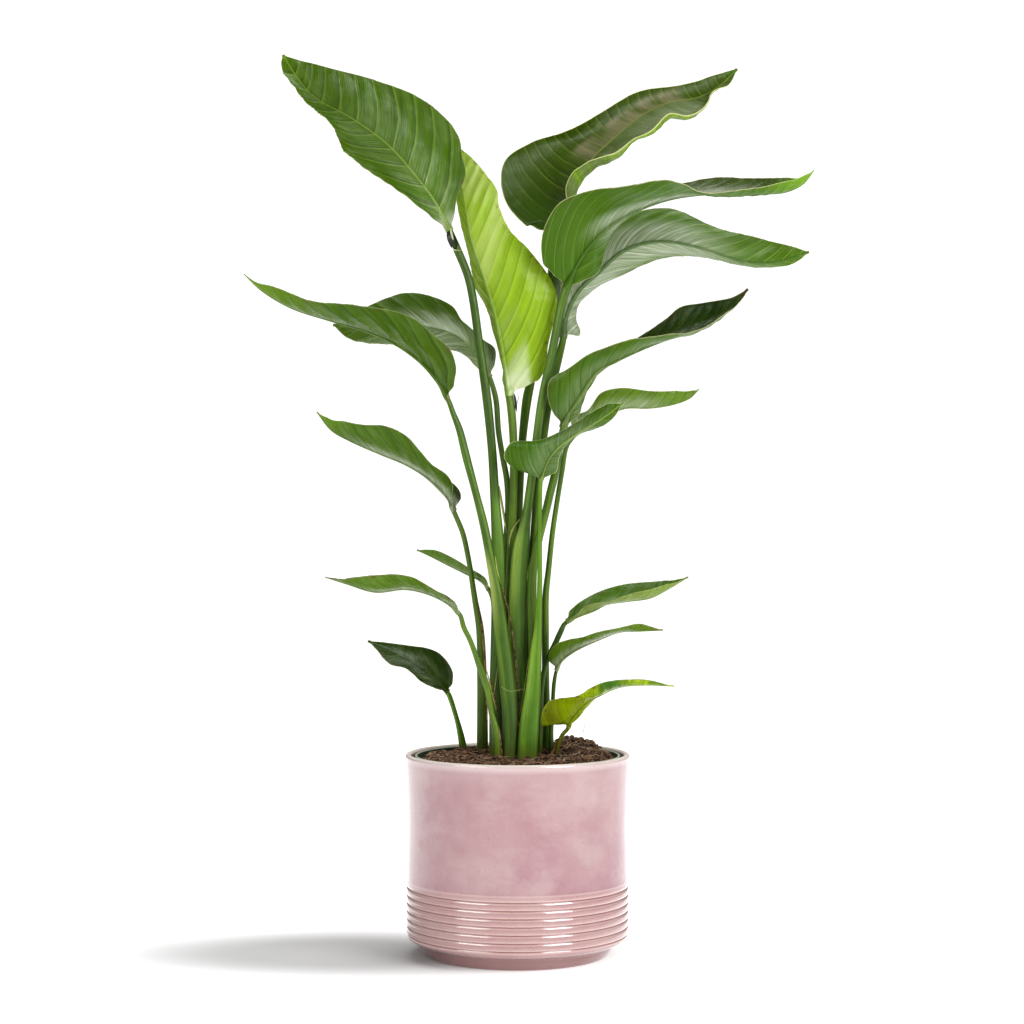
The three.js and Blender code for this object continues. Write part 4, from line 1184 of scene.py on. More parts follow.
@dataclass(frozen=True)
class LeafFinish:
    """The green of one leaf: two faces, a pale rib, fine side veins and a dry thin margin,
    with painted shade and painted light on its folds, painted shade along the rib's edges
    and painted sheen.
    """

    name: str
    look: LeafLook
    # whitish colour of the leaf's own coating and of painted sheen
    coating_and_sheen: str = "c6cbbc"
    mist: str = "b4bf94"
    scorch: str = "5a4424"

    def patch_mask(self, shader: Shader, patch: Patch, across: Value, line: Value) -> Value:
        """Gives where a patch of another colour lies, before it is made cloudy."""
        on_half = shader.smooth(across * -float(patch.half.value), -0.01, 0.02)
        near_rib = shader.fade(abs(across), patch.reach * 0.7, patch.reach)
        begun = shader.smooth(line, patch.start, patch.start + 0.25)
        return on_half * near_rib * (begun * shader.fade(line, patch.end - 0.25, patch.end))

    def material(self) -> bpy.types.Material:
        """Makes the leaf's material. It reads the blade's UV map and its attribute "leaf"."""
        look = self.look
        shader = Shader("leaf_" + self.name)
        settings = {"attribute_name": "leaf", "attribute_type": "GEOMETRY"}
        marks = shader.node("ShaderNodeAttribute", settings, None, "Vector")
        side, rib, margin = shader.parts(marks)
        way = Value(shader, marks.socket.node.outputs["Alpha"])
        across, line, _ = shader.spread()
        place, off = shader.place(), abs(across)

        def veined(x: float, y: float, z: Number, detail: float, rough: float) -> Value:
            """Gives a noise that is drawn out along the side veins."""
            return shader.cloud(shader.joined(line * x, off * y, z), 1.0, detail, rough)

        slow = shader.cloud(place, 22.0, 3.0)
        drift = shader.cloud(place, 60.0, 2.0)
        streak = veined(55.0, 4.0, side * 4.0, 3.0, 0.6)
        broad = veined(9.0, 1.5, side * 4.0 + 7.0, 2.0, 0.5)
        misty = veined(4.0, 5.0, 11.0, 3.0, 0.5)
        speckle = shader.cloud(place, 750.0, 2.0, 0.7)
        folds = line * (UV_STEP / look.pitch)
        main_vein = shader.fade(shader.maths("PINGPONG", folds, 0.5), 0.01, 0.045)
        panel = shader.maths("FRACT", folds, 0.0)
        # painted light on the base side of each fold, in streaks
        painted_fold_light = shader.smooth(panel, 0.7, 0.99) * shader.smooth(streak, 0.25, 0.6)
        fine = line * (7 * UV_STEP / look.pitch) + drift * 0.5
        fine = shader.fade(shader.maths("PINGPONG", fine, 0.5), 0.06, 0.3)
        fine = fine * shader.smooth(streak, 0.3, 0.6)
        upper, under, tint = (under_gloss(text) for text in (look.upper, look.under, look.tint))
        mixed = shader.smooth(slow, 0.3, 0.7)
        upper_skin = shader.blend(mixed, upper, shade(upper, 0.75, tint, 0.15))
        under_skin = shader.blend(mixed, under, shade(under, 0.85, tint, 0.2))
        pale_upper = shade(upper, 1.6, srgb(look.rib), 0.3)
        pale = shader.blend(side, shade(under, 1.35, srgb(look.rib), 0.25), pale_upper)
        dark = shader.blend(side, shade(under, 0.5), shade(upper, 0.42))
        vein_colour = shader.blend(side, under_gloss(look.line), pale_upper)
        rib_colour = shader.blend(side, look.rib, shade(srgb(look.rib), 0.8, upper, 0.4))
        # painted sheen near the midrib, partly the leaf's own whitish coating, stronger where the
        # painted fold light is
        coating_and_sheen_mask = shader.fade(off, 0.004 * look.sheen_reach, 0.01 * look.sheen_reach)
        coating_and_sheen_mask = coating_and_sheen_mask * (0.6 + 0.4 * painted_fold_light) * shader.smooth(streak, 0.2, 0.65)
        coating_and_sheen_mask = coating_and_sheen_mask * shader.fade(way, 0.55, 0.8)
        if look.sheen_from > 0:
            coating_and_sheen_mask = coating_and_sheen_mask * shader.smooth(way, look.sheen_from, look.sheen_from + 0.15)
        layers = [
            (shader.smooth(streak, 0.45, 0.8) * (0.4 * look.veins + 0.05), pale),
            (shader.smooth(broad, 0.4, 0.72) * 0.42, dark),
            # painted shade on the tip side of each fold, then painted light on its base side
            (shader.fade(panel, 0.0, 0.32) * (0.8 * look.panels), dark),
            (painted_fold_light * (0.6 * look.panels), pale),
            (shader.smooth(speckle, 0.5, 0.75) * 0.22, dark),
            (fine * (0.2 * look.veins), pale),
            (main_vein * (0.9 * look.veins), vein_colour),
            (coating_and_sheen_mask * look.sheen, self.coating_and_sheen),
            (rib * look.rib_share, rib_colour),
            # painted shade along the rib's edges
            (rib * (1.0 - rib) * 4.0 * 0.45, dark),
            # whitish patches along the veins: partly the leaf's own whitish coating, partly painted
            # sheen
            (shader.smooth(misty, 0.45, 0.75) * (0.7 * look.coating_and_sheen_patches), self.mist),
        ]
        for patch in look.patches:
            cloudy = shader.smooth(broad * 0.5 + slow * 0.5, 0.3, 0.6)
            mask = self.patch_mask(shader, patch, across, line)
            layers.append((mask * cloudy * patch.strength, patch.colour))
        old = shader.smooth(shader.cloud(place, 130.0, 4.0, 0.65), 0.56, 0.66)
        layers.append((old * shader.fade(margin, 0.1, 0.7) * (look.brown * 5.0), self.scorch))
        layers.append((shader.fade(margin, 0.02, 0.08) * look.dry_margin, look.margin))
        if look.foot:
            near_foot = shader.fade(way, 0.02, 0.09) * shader.smooth(streak, 0.2, 0.6)
            layers.append((near_foot * (1.0 - rib) * 0.75, look.foot))
        if look.tip:
            layers.append((shader.smooth(way, look.tip_start, 0.995) * 0.8, look.tip))
        skin = shader.layered(shader.blend(side, under_skin, upper_skin), *layers)
        rough = look.gloss + streak * 0.12 + slow * 0.08
        normal = shader.bump(streak * 0.5 + drift * 0.25 - fine * 0.3, 0.0006, 0.8)
        return shader.finish(skin, rough, {"Specular IOR Level": 0.19, "Normal": normal})


@dataclass(frozen=True)
class StalkFinish:
    """A stalk's skin: light and dark stripes, fine fibres, thin margins, a dry foot and painted
    shade down its right side.

    A zone is a band of another green on a sheath, partly its own yellow-green and partly
    painted light: from and to which height in metres, its colour, and where it is strongest,
    from 0 on the left to 0.5 on the right.
    """

    name: str
    girth: float
    skin: str = "557424"
    pale: str = "87a345"
    dark: str = "334a14"
    wet: str = "5f5226"
    left_edge: str = ""
    right_edge: str = ""
    zones: tuple[tuple[float, float, str, float], ...] = ()

    def material(self) -> bpy.types.Material:
        """Makes the stalk's material. It reads the stalk's UV map and its place."""
        shader = Shader("stalk_" + self.name)
        turn, run, _ = shader.spread()
        around, place = turn * self.girth, shader.place()
        height = shader.parts(place)[2]

        def striped(x: float, y: float, z: float, detail: float, rough: float) -> Value:
            """Gives a noise that is drawn out down the stalk."""
            return shader.cloud(shader.joined(around * x, run * y, z), 1.0, detail, rough)

        slow = shader.cloud(place, 28.0, 3.0)
        fibre = striped(90.0, 1.6, 0.0, 3.0, 0.6)
        blotch = striped(20.0, 0.5, 3.0, 3.0, 0.55)
        stripe = striped(34.0, 0.3, 8.0, 2.0, 0.5)
        dots = shader.cloud(place, 900.0, 2.0, 0.6)
        dark, pale = under_gloss(self.dark), under_gloss(self.pale)
        to_left = abs(turn - 0.5)
        layers = [
            (shader.smooth(blotch, 0.42, 0.6) * 0.4, pale),
            (shader.smooth(stripe, 0.48, 0.62) * 0.3, dark),
        ]
        # bands of another green, partly painted light
        for low, high, colour, strongest in self.zones:
            inside = shader.smooth(height, low, low + 0.06) * shader.fade(height, high - 0.03, high)
            beside = shader.fade(abs(to_left - strongest), 0.08, 0.26)
            layers.append((inside * beside * 0.8, colour))
        layers += [
            (shader.smooth(fibre, 0.5, 0.78) * 0.35, shade(dark, 0.7)),
            (shader.smooth(dots, 0.5, 0.7) * 0.2, dark),
            # painted shade down the stalk's right side
            (shader.fade(0.5 - to_left, 0.02, 0.12) * 0.6, shade(dark, 0.6)),
        ]
        frayed = (fibre - 0.5) * 0.03
        for colour, away in ((self.left_edge, to_left), (self.right_edge, 0.5 - to_left)):
            if colour:
                edge = shader.fade(away + frayed, 0.02, 0.045)
                layers.append((edge * shader.fade(height, 0.36, 0.42) * 0.85, colour))
        layers.append((shader.fade(height + frayed, 0.195, 0.215) * 0.5, self.wet))
        ground = shader.blend(shader.smooth(slow, 0.35, 0.7) * 0.5, under_gloss(self.skin), dark)
        normal = shader.bump(fibre + blotch * 0.3, 0.0007, 0.8)
        sockets = {"Specular IOR Level": 0.4, "Normal": normal}
        return shader.finish(shader.layered(ground, *layers), 0.27 + fibre * 0.2, sockets)


@dataclass(frozen=True)
class GlazeFinish:
    """A glossy pink-mauve glaze with cloudy mottling, thin and pale on the rim, and paler crests on
    the ribbed band, partly a painted highlight. In metres.
    """

    first_groove: float
    groove_pitch: float
    body: str = "a98386"
    cloud: str = "9a6974"
    light: str = "bba2a1"
    band: str = "b8938f"
    groove: str = "8a5652"
    crest_and_highlight: str = "dcc6bb"
    foot: str = "94706c"
    shoulder: str = "dccccb"
    rim: str = "ded5cc"
    speck: str = "7c4f5c"

    def material(self) -> bpy.types.Material:
        """Makes the glaze."""
        shader = Shader("pink_glaze")
        place = shader.place()
        x, y, z = shader.parts(place)
        slow = shader.cloud(place, 9.0, 4.0, 0.55)
        fine = shader.cloud(place, 55.0, 4.0, 0.6)
        runs = shader.cloud(shader.joined(x * 60.0, y * 60.0, z * 9.0), 1.0, 3.0)
        soft = shader.cloud(shader.joined(x * 14.0, y * 14.0, z * 20.0), 1.0, 5.0, 0.55)
        grain = shader.cloud(place, 700.0, 2.0, 0.7)
        specks = shader.cloud(place, 420.0, 1.0)
        band = shader.smooth(z, 0.0165, 0.0185) * shader.fade(z, 0.0735, 0.0765)
        step = shader.maths("PINGPONG", (z - self.first_groove) * (1.0 / self.groove_pitch), 0.5)
        # paler crests beside each groove: partly the glaze's own colour, partly painted highlight
        crest_and_highlight = shader.smooth(step, 0.05, 0.14) * shader.fade(step, 0.16, 0.4)
        thin = shader.smooth(z + fine * 0.0012, 0.1982, 0.2)
        skin = shader.layered(
            shader.blend(shader.smooth(slow, 0.36, 0.66), self.body, self.cloud),
            (shader.smooth(soft, 0.4, 0.68) * 0.65, self.light),
            (shader.smooth(fine, 0.3, 0.8) * 0.25, self.light),
            (shader.smooth(runs, 0.4, 0.8) * 0.2, self.cloud),
            (band * 0.45, self.band),
            (band * shader.fade(step, 0.01, 0.06) * 0.5, self.groove),
            (band * crest_and_highlight * 0.5, self.crest_and_highlight),
            (shader.smooth(grain, 0.45, 0.7) * 0.14, self.cloud),
            (shader.fade(z, 0.014, 0.02) * 0.8, self.foot),
            (shader.smooth(z, 0.165, 0.196) * shader.smooth(slow, 0.3, 0.6) * 0.6, self.light),
            (shader.smooth(z, 0.19, 0.197) * 0.6, self.shoulder),
            (thin * 0.9, self.rim),
            (shader.smooth(specks, 0.7, 0.76) * 0.35, self.speck),
        )
        coat = {"Coat Weight": 0.85 * (1.0 - thin), "Coat Roughness": 0.03}
        coat["Normal"] = shader.bump(slow * 1.0 + fine * 0.1, 0.0012, 0.4)
        return shader.finish(skin, 0.1 + fine * 0.08 + thin * 0.45, coat)


@dataclass(frozen=True)
class PlainFinish:
    """A grainy finish of two colours: moulded plastic, peat, a crumb, a fibre or a dry edge."""

    name: str
    first: str
    second: str
    scale: float
    rough: float
    relief: float
    edge: str = ""
    edge_z: float = 0.0

    def material(self) -> bpy.types.Material:
        """Makes the finish."""
        shader = Shader(self.name)
        place = shader.place()
        slow = shader.cloud(place, self.scale * 0.2, 3.0)
        grain = shader.cloud(place, self.scale, 5.0, 0.6)
        layers = [(shader.smooth(slow, 0.4, 0.7) * 0.4, shade(srgb(self.first), 0.75))]
        if self.edge:
            # a paler colour above edge_z, on the top of the pot's lip
            above_edge = shader.smooth(shader.parts(place)[2], self.edge_z, self.edge_z + 0.0006)
            layers.append((above_edge * 0.9, self.edge))
        ground = shader.blend(shader.smooth(grain, 0.35, 0.68), self.first, self.second)
        normal = shader.bump(grain, self.relief)
        skin = shader.layered(ground, *layers)
        return shader.finish(skin, self.rough + grain * 0.15, {"Normal": normal})


# The holder and its soil


@dataclass
class Planter:
    """The glazed cover pot: a foot, a ribbed band, a slight waist and a rounded rim. In mm."""

    height: float = 200.0
    wall: float = 6.0
    rim_radius: float = 112.0
    rim_round: float = 3.0
    wall_top: float = 188.0
    grooves: int = 7
    first_groove: float = 21.8
    groove_pitch: float = 7.8
    groove_depth: float = 1.2
    notch_depth: float = 0.3
    notch_width: float = 0.14
    steps: int = 160
    foot_knots: str = (
        "88,0 90,0.5 91.2,1.6 94.3,7 95.5,11 98.6,12.6 103,14 108,16.6 110.4,19.2 111.3,23 111.5,30"
    )
    wall_knots: str = "110.9,79 110.3,100 109.7,126 110,146 110.4,160 111.1,176 111.7,188"
    underside: str = "0,0 60,0 87.5,0"
    inside: str = "103.7,126 104,70 103.5,28 98,15 94,10.4 88,9 0,9"

    def outside(self) -> np.ndarray:
        """Gives the outside's profile, from beside the foot up to the rim."""
        pitch, first = self.groove_pitch, self.first_groove
        last = first + pitch * (self.grooves - 1)
        band = [(111.5, last - 2), (111.4, last + 4)]
        knots = np.vstack([spots(self.foot_knots), band, spots(self.wall_knots)])
        radius, height = through(knots, np.linspace(0, 1, 600)).T
        below = np.linspace(0.0, first - 3, 26)[1:-1]
        between = np.arange(first - 3, last + 3, pitch / 20)
        heights = np.concatenate([below, between, np.linspace(last + 3, self.wall_top, 40)])
        away = np.abs((heights - first + pitch / 2) % pitch - pitch / 2) / (0.5 * pitch)
        grooved = (heights > first - 3.5) & (heights < last + 3.5)
        notch = self.notch_depth * np.clip(1 - away / self.notch_width, 0, 1)
        dip = np.where(grooved, self.groove_depth * (1 - away) ** 2.2 + notch, 0.0)
        return np.stack([np.interp(heights, height, radius) - dip, heights], -1)

    def rim(self) -> list[Point]:
        """Gives the rim's round, from the outside over to the inside."""
        half, bend = self.wall / 2, self.rim_round
        middle, low = self.rim_radius - half, self.height - bend
        turns = np.linspace(0, math.pi, 13)
        return [(middle + half * math.cos(a), low + bend * math.sin(a)) for a in turns]

    def build(self) -> bpy.types.Object:
        """Makes the planter."""
        lines = [spots(self.underside), self.outside(), self.rim(), spots(self.inside)]
        piece = turned_piece("glazed_planter", np.vstack(lines).tolist(), self.steps)
        glaze = GlazeFinish(self.first_groove * MM, self.groove_pitch * MM)
        return settle(piece, 40, "pink_glaze", glaze.material(), "planter")


@dataclass
class GrowingPot:
    """The thin plastic pot inside the planter, with a lip turned outwards. In mm."""

    rim_radius: float = 102.5
    top: float = 198.5
    lip: float = 190.0
    mouth_radius: float = 99.0
    base_radius: float = 78.0
    wall: float = 1.4
    lip_wall: float = 2.2
    base: float = 9.3
    drain_holes: int = 6
    drain_radius: float = 7.0
    drain_circle: float = 52.0
    steps: int = 120

    def profile(self) -> list[Point]:
        """Gives the shell's profile, up the outside and down the inside."""
        rim, top, lip, base = self.rim_radius, self.top, self.lip, self.base
        inner = rim - self.lip_wall
        return [
            (0.0, base), (self.base_radius - 1, base), (self.base_radius, base + 1),
            (self.mouth_radius + self.wall, lip - 0.6), (rim - 0.5, lip), (rim, lip + 0.6),
            (rim, top - 0.7), (rim - 0.7, top), (inner + 0.5, top), (inner, top - 0.6),
            (self.mouth_radius, lip), (self.base_radius - self.wall, base + self.wall),
            (0.0, base + self.wall),
        ]

    def build(self) -> bpy.types.Object:
        """Makes the pot and cuts its drain holes."""
        piece = turned_piece("growing_pot", self.profile(), self.steps)
        for i in range(self.drain_holes):
            angle = FULL_TURN * i / self.drain_holes
            x, y = self.drain_circle * math.cos(angle), self.drain_circle * math.sin(angle)
            deselect()
            bpy.ops.mesh.primitive_cylinder_add(
                vertices=24,
                radius=self.drain_radius * MM,
                depth=6 * self.wall * MM,
                location=(x * MM, y * MM, (self.base + self.wall / 2) * MM),
            )
            cutter = named("drain_cutter")
            apply_modifier(piece, "BOOLEAN", object=cutter, operation="DIFFERENCE", solver="EXACT")
            bpy.data.objects.remove(cutter)
        moulded = ("pot_plastic", "1c2a1c", "2c3a28", 160.0, 0.42, 0.0002, "b9c3aa", 0.1975)
        return settle(piece, 35, "pot_plastic", PlainFinish(*moulded).material(), "nursery_pot")


@dataclass
class Soil:
    """Fibrous peat with a mound to the right, crumbs, white grains and dry fibres. In mm."""

    level: float = 196.0
    mound: float = 14.0
    mound_place: tuple[float, float] = (57.0, 38.0)
    mound_spread: float = 900.0
    low: float = 11.3
    low_radius: float = 75.7
    brim_z: float = 186.0
    brim_radius: float = 98.0
    brim_from: float = 0.87
    brim_drop: float = 3.0
    strewn_share: float = 0.96
    rings: int = 70
    steps: int = 150
    crumbs: int = 1100
    grains: int = 60
    fibres: int = 420

    def height_at(self, x: float, y: float) -> float:
        """Gives the soil's top at a place, in mm."""
        uneven = 1.2 * math.sin(x / 11 + 1) * math.cos(y / 13) + 0.8 * math.sin(x / 6 - y / 8)
        off = (x - self.mound_place[0]) ** 2 + (y - self.mound_place[1]) ** 2
        rim = math.hypot(x, y) / self.brim_radius
        edge = self.brim_drop * max(0.0, min(1.0, (rim - self.brim_from) / 0.1))
        return self.level + uneven + self.mound * math.exp(-off / self.mound_spread) - edge

    def build(self) -> None:
        """Makes the body of soil and what lies on it."""
        rings = [self.brim_radius * (1 - k / self.rings) for k in range(self.rings + 1)]
        profile = [(0.0, self.low), (self.low_radius, self.low), (self.brim_radius, self.brim_z)]
        profile += [(r, self.level) for r in rings]
        body = turned_piece("soil_body", profile, self.steps)
        places = get_places(body)
        for i, (x, y, z) in enumerate(places):
            if abs(z - self.level) < 0.01:
                rough = noise.fractal(Vector((x / 9, y / 9, 4.0)), 1.0, 2.2, 4)
                lumps = abs(noise.noise(Vector((x / 5.0, y / 5.0, 9.0))))
                places[i, 2] = self.height_at(x, y) - 0.6 + 1.6 * rough + 2.6 * lumps
        set_places(body, places)
        peat = PlainFinish("peat", "2c1c14", "664a36", 260.0, 0.9, 0.0012)
        settle(body, 60, "peat", peat.material(), "soil")
        draw = random.Random(SEED)
        crumb = PlainFinish("peat_crumb", "3f2a20", "8e6c50", 140.0, 0.9, 0.0006)
        self.scattered("soil_crumbs", self.crumbs, (1.0, 4.2, 0.75), crumb, draw)
        white = PlainFinish("perlite", "cfc6b8", "f2eee6", 500.0, 0.8, 0.0004)
        self.scattered("soil_perlite", self.grains, (0.7, 1.6, 0.85), white, draw)
        straw = PlainFinish("peat_fibre", "8a6a4e", "cbb292", 300.0, 0.8, 0.0002)
        made = [self.fibre(draw) for _ in range(self.fibres)]
        join(made, 60, "peat", straw.material())

    def spot(self, draw: random.Random) -> tuple[float, float]:
        """Draws a place on the soil, even over its area."""
        radius = self.strewn_share * self.brim_radius * math.sqrt(draw.random())
        angle = draw.uniform(0, FULL_TURN)
        return radius * math.cos(angle), radius * math.sin(angle)

    def scattered(
        self, name: str, count: int, form: Point, finish: PlainFinish, draw: random.Random
    ) -> None:
        """Scatters knobbly grains over the soil and joins them.

        Args:
            name: The piece's name.
            count: How many grains.
            form: The least and the largest radius, in mm, and how flat a grain is.
            finish: The grains' finish.
            draw: The random numbers.
        """
        least, largest, flat = form
        deselect()
        bpy.ops.mesh.primitive_ico_sphere_add(subdivisions=1, radius=1.0)
        model = named(name)
        for vertex in model.data.vertices:
            vertex.co *= 1 + 0.35 * noise.noise(vertex.co * 1.7 + Vector((SEED, 0, 0)))
        copies = [model]
        for _ in range(count - 1):
            copies.append(bpy.data.objects.new(name, model.data.copy()))
            bpy.context.collection.objects.link(copies[-1])
        for copy in copies:
            x, y = self.spot(draw)
            size = least + (largest - least) * draw.random() ** 2.5
            turn = Matrix.Rotation(draw.uniform(0, 6.28), 4, "Z")
            turn = turn @ Matrix.Rotation(draw.uniform(-0.5, 0.5), 4, "X")
            scale = Matrix.Diagonal((size, size * draw.uniform(0.6, 1.0), size * flat, 1.0))
            up = Matrix.Translation((x, y, self.height_at(x, y) + 0.9 + size * 0.25))
            copy.data.transform(Matrix.Scale(MM, 4) @ up @ turn @ scale)
        join(copies, 30, "peat", finish.material())

    def fibre(self, draw: random.Random) -> bpy.types.Object:
        """Lays one thin bent fibre on the soil."""
        x, y = self.spot(draw)
        heading = draw.uniform(0, FULL_TURN)
        long = draw.uniform(5, 20)
        radius = draw.uniform(0.15, 0.4)
        points = []
        for _ in range(5):
            heading += draw.uniform(-0.5, 0.5)
            if math.hypot(x, y) > 0.95 * self.brim_radius:
                heading = math.atan2(-y, -x)
            points.append((x, y, self.height_at(x, y) + 1.4 + radius + draw.uniform(0, 1.2)))
            x += long / 4 * math.cos(heading)
            y += long / 4 * math.sin(heading)
        return strand("soil_fibres", np.array(points), radius)


def strand(
    name: str, points: np.ndarray, radius: float, rings: int = 9, sides: int = 5
) -> bpy.types.Object:
    """Makes a thin tapered strand along points in mm, of a few dozen faces."""
    t = np.linspace(0, 1, rings)
    centre = through(points, t)
    down = unit(np.gradient(centre, axis=0))
    side = unit(np.cross(down, np.array([0.3, 0.2, 1.0])))
    turn = np.linspace(0, FULL_TURN, sides, endpoint=False)
    thick = (radius * (1 - 0.75 * np.abs(2 * t - 0.9) ** 3))[:, None]
    flat = np.stack([np.cos(turn)[None] * thick, np.sin(turn)[None] * thick], -1)
    return tube_piece(name, centre, side, np.cross(side, down), flat, t)


# What is dry or torn on the leaves


@dataclass(frozen=True)
class Shred:
    """A thin strip on the leaves: its line on the elevation, its half width and its depth.

    Where the depth is None, the strip lies on the stalks as they are seen from in front.
    """

    line: str
    radius: float
    depth: float | None = None


@dataclass
class DryParts:
    """The dry margins of the sheaths, torn shreds, loose fibres and a dark joint."""

    stalks: list[bpy.types.Object]
    steps: int = 40
    sunk: float = 0.15

    def laid(self, shred: Shred, surfaces: list[BVHTree]) -> np.ndarray:
        """Gives a strip's places in mm, on the stalk it mostly lies on or at its depth."""
        flat = by_length(spots(shred.line), np.linspace(0, 1, self.steps))
        if shred.depth is not None:
            return seen(flat, np.full(self.steps, shred.depth))
        depths = np.full((len(surfaces), self.steps), math.inf)
        for step, spot in enumerate(seen(flat, np.zeros(self.steps)) * MM):
            way = (Vector(spot) - Vector(EYE)).normalized()
            for number, surface in enumerate(surfaces):
                hit = surface.ray_cast(Vector(EYE), way)[0]
                if hit is not None:
                    depths[number, step] = hit.y / MM
        met = np.isfinite(depths).any(axis=0)
        front = np.bincount(depths[:, met].argmin(axis=0)).argmax()
        known = np.isfinite(depths[front])
        even = np.interp(np.arange(self.steps), np.flatnonzero(known), depths[front][known])
        return seen(flat, even - self.sunk)

    def build(self) -> None:
        """Makes every kind of strip, each kind as one piece."""
        surfaces = []
        for stalk in self.stalks:
            corners = [vertex.co.copy() for vertex in stalk.data.vertices]
            faces = [tuple(face.vertices) for face in stalk.data.polygons]
            surfaces.append(BVHTree.FromPolygons(corners, faces))
        rings = 3 * self.steps // 2
        for name, (finish, shreds) in SHREDS.items():
            made = [strand(name, self.laid(s, surfaces), s.radius, rings) for s in shreds]
            join(made, 60, "leaf_old", finish.material())


SHREDS: dict[str, tuple[PlainFinish, list[Shred]]] = {
    "sheath_margins_brown": (
        PlainFinish("dry_brown", "4a3420", "b3926a", 240.0, 0.85, 0.0005),
        [
            Shred("500,582 508,609 513,638 517,679 519,718 515,750 514,763", 0.8),
            Shred("479,608 484,650 486,690 487,725 488,757", 1.3),
            Shred("499,727 501,745 503,763", 0.8),
            Shred("490,679 495,700 498,716", 0.9),
            Shred("556.5,741 553.5,749 550,758", 1.7, -1.5),
        ],
    ),
    "sheath_margins_pale": (
        PlainFinish("dry_pale", "93a040", "c9c886", 240.0, 0.7, 0.0004),
        [
            Shred("495,556 497,570 501,584", 0.7),
            Shred("534,619 530,650 524,690 518,725 514,756", 0.6),
            Shred("499,486 502,505 507,534", 1.3),
            Shred("520,519 514,527 510,537 509,548", 0.9),
            Shred("531,560 528,570 527,582", 0.6),
            Shred("486,668 491,688 497,714", 0.7),
            Shred("493,700 496,680 498,664", 0.5),
            Shred("500,686 509,691 519,690 526,688", 0.18),
        ],
    ),
    "loose_fibres": (
        PlainFinish("dry_fibre", "5c5040", "8a7c64", 300.0, 0.8, 0.0002),
        [
            Shred("585.7,720 583.5,731 582,739", 0.22, 30.0),
            Shred("517,393 518.5,398 517.5,402 519,406", 0.3, 3.0),
        ],
    ),
    "leaf_joint_dark": (
        PlainFinish("dark_joint", "0c1405", "24330f", 120.0, 0.3, 0.0003),
        [
            Shred("450.5,231.5 450.5,236 453.5,244 457.5,251", 5.0, -10.0),
            Shred("514,394 515.5,402 516.5,412", 1.3, 5.0),
        ],
    ),
    "leaf_joint_rim": (
        PlainFinish("pale_rim", "93a05a", "c8cbb0", 120.0, 0.5, 0.0003),
        [
            Shred("452,247 453.5,249.5 458,250.5 462,250.5", 0.7, -13.0),
            Shred("450.5,228 451.5,234 453.5,241", 1.1, -14.5),
        ],
    ),
}

STALKS: dict[str, dict[str, object]] = {
    "top_left": {
        "skin": "466422", "pale": "6b8638", "dark": "2b3f12",
        "zones": ((0.34, 0.47, "6a902f", 0.3), (0.26, 0.36, "4c7022", 0.3)),
    },
    "top_centre": {"skin": "66843a", "pale": "94ac5c"},
    "mid_left": {
        "skin": "4b6c20", "right_edge": "6b5330", "zones": ((0.31, 0.41, "a5b35c", 0.05),),
    },
    "mid_left_rear": {"skin": "47641f"},
    "low_left": {"skin": "587820", "pale": "8ea33c", "right_edge": "55401f"},
    "lower_left": {"skin": "5d8022", "pale": "9ab548"},
    "lowest_left": {"skin": "64901c", "pale": "98b83a", "dark": "3d5a10"},
    "right_upper": {
        "skin": "56783a", "pale": "7d9b58", "zones": ((0.31, 0.44, "8aa543", 0.05),),
    },
    "front_folded": {
        "skin": "5f8a1e", "pale": "90b23c", "dark": "446412", "left_edge": "a9b768",
        "zones": ((0.22, 0.34, "86a83a", 0.05),),
    },
    "lower_right": {"skin": "3c5c18", "dark": "1f330a"},
    "lowest_right": {"skin": "7d8024", "pale": "a8a844", "dark": "4e4a18"},
}


# The studio


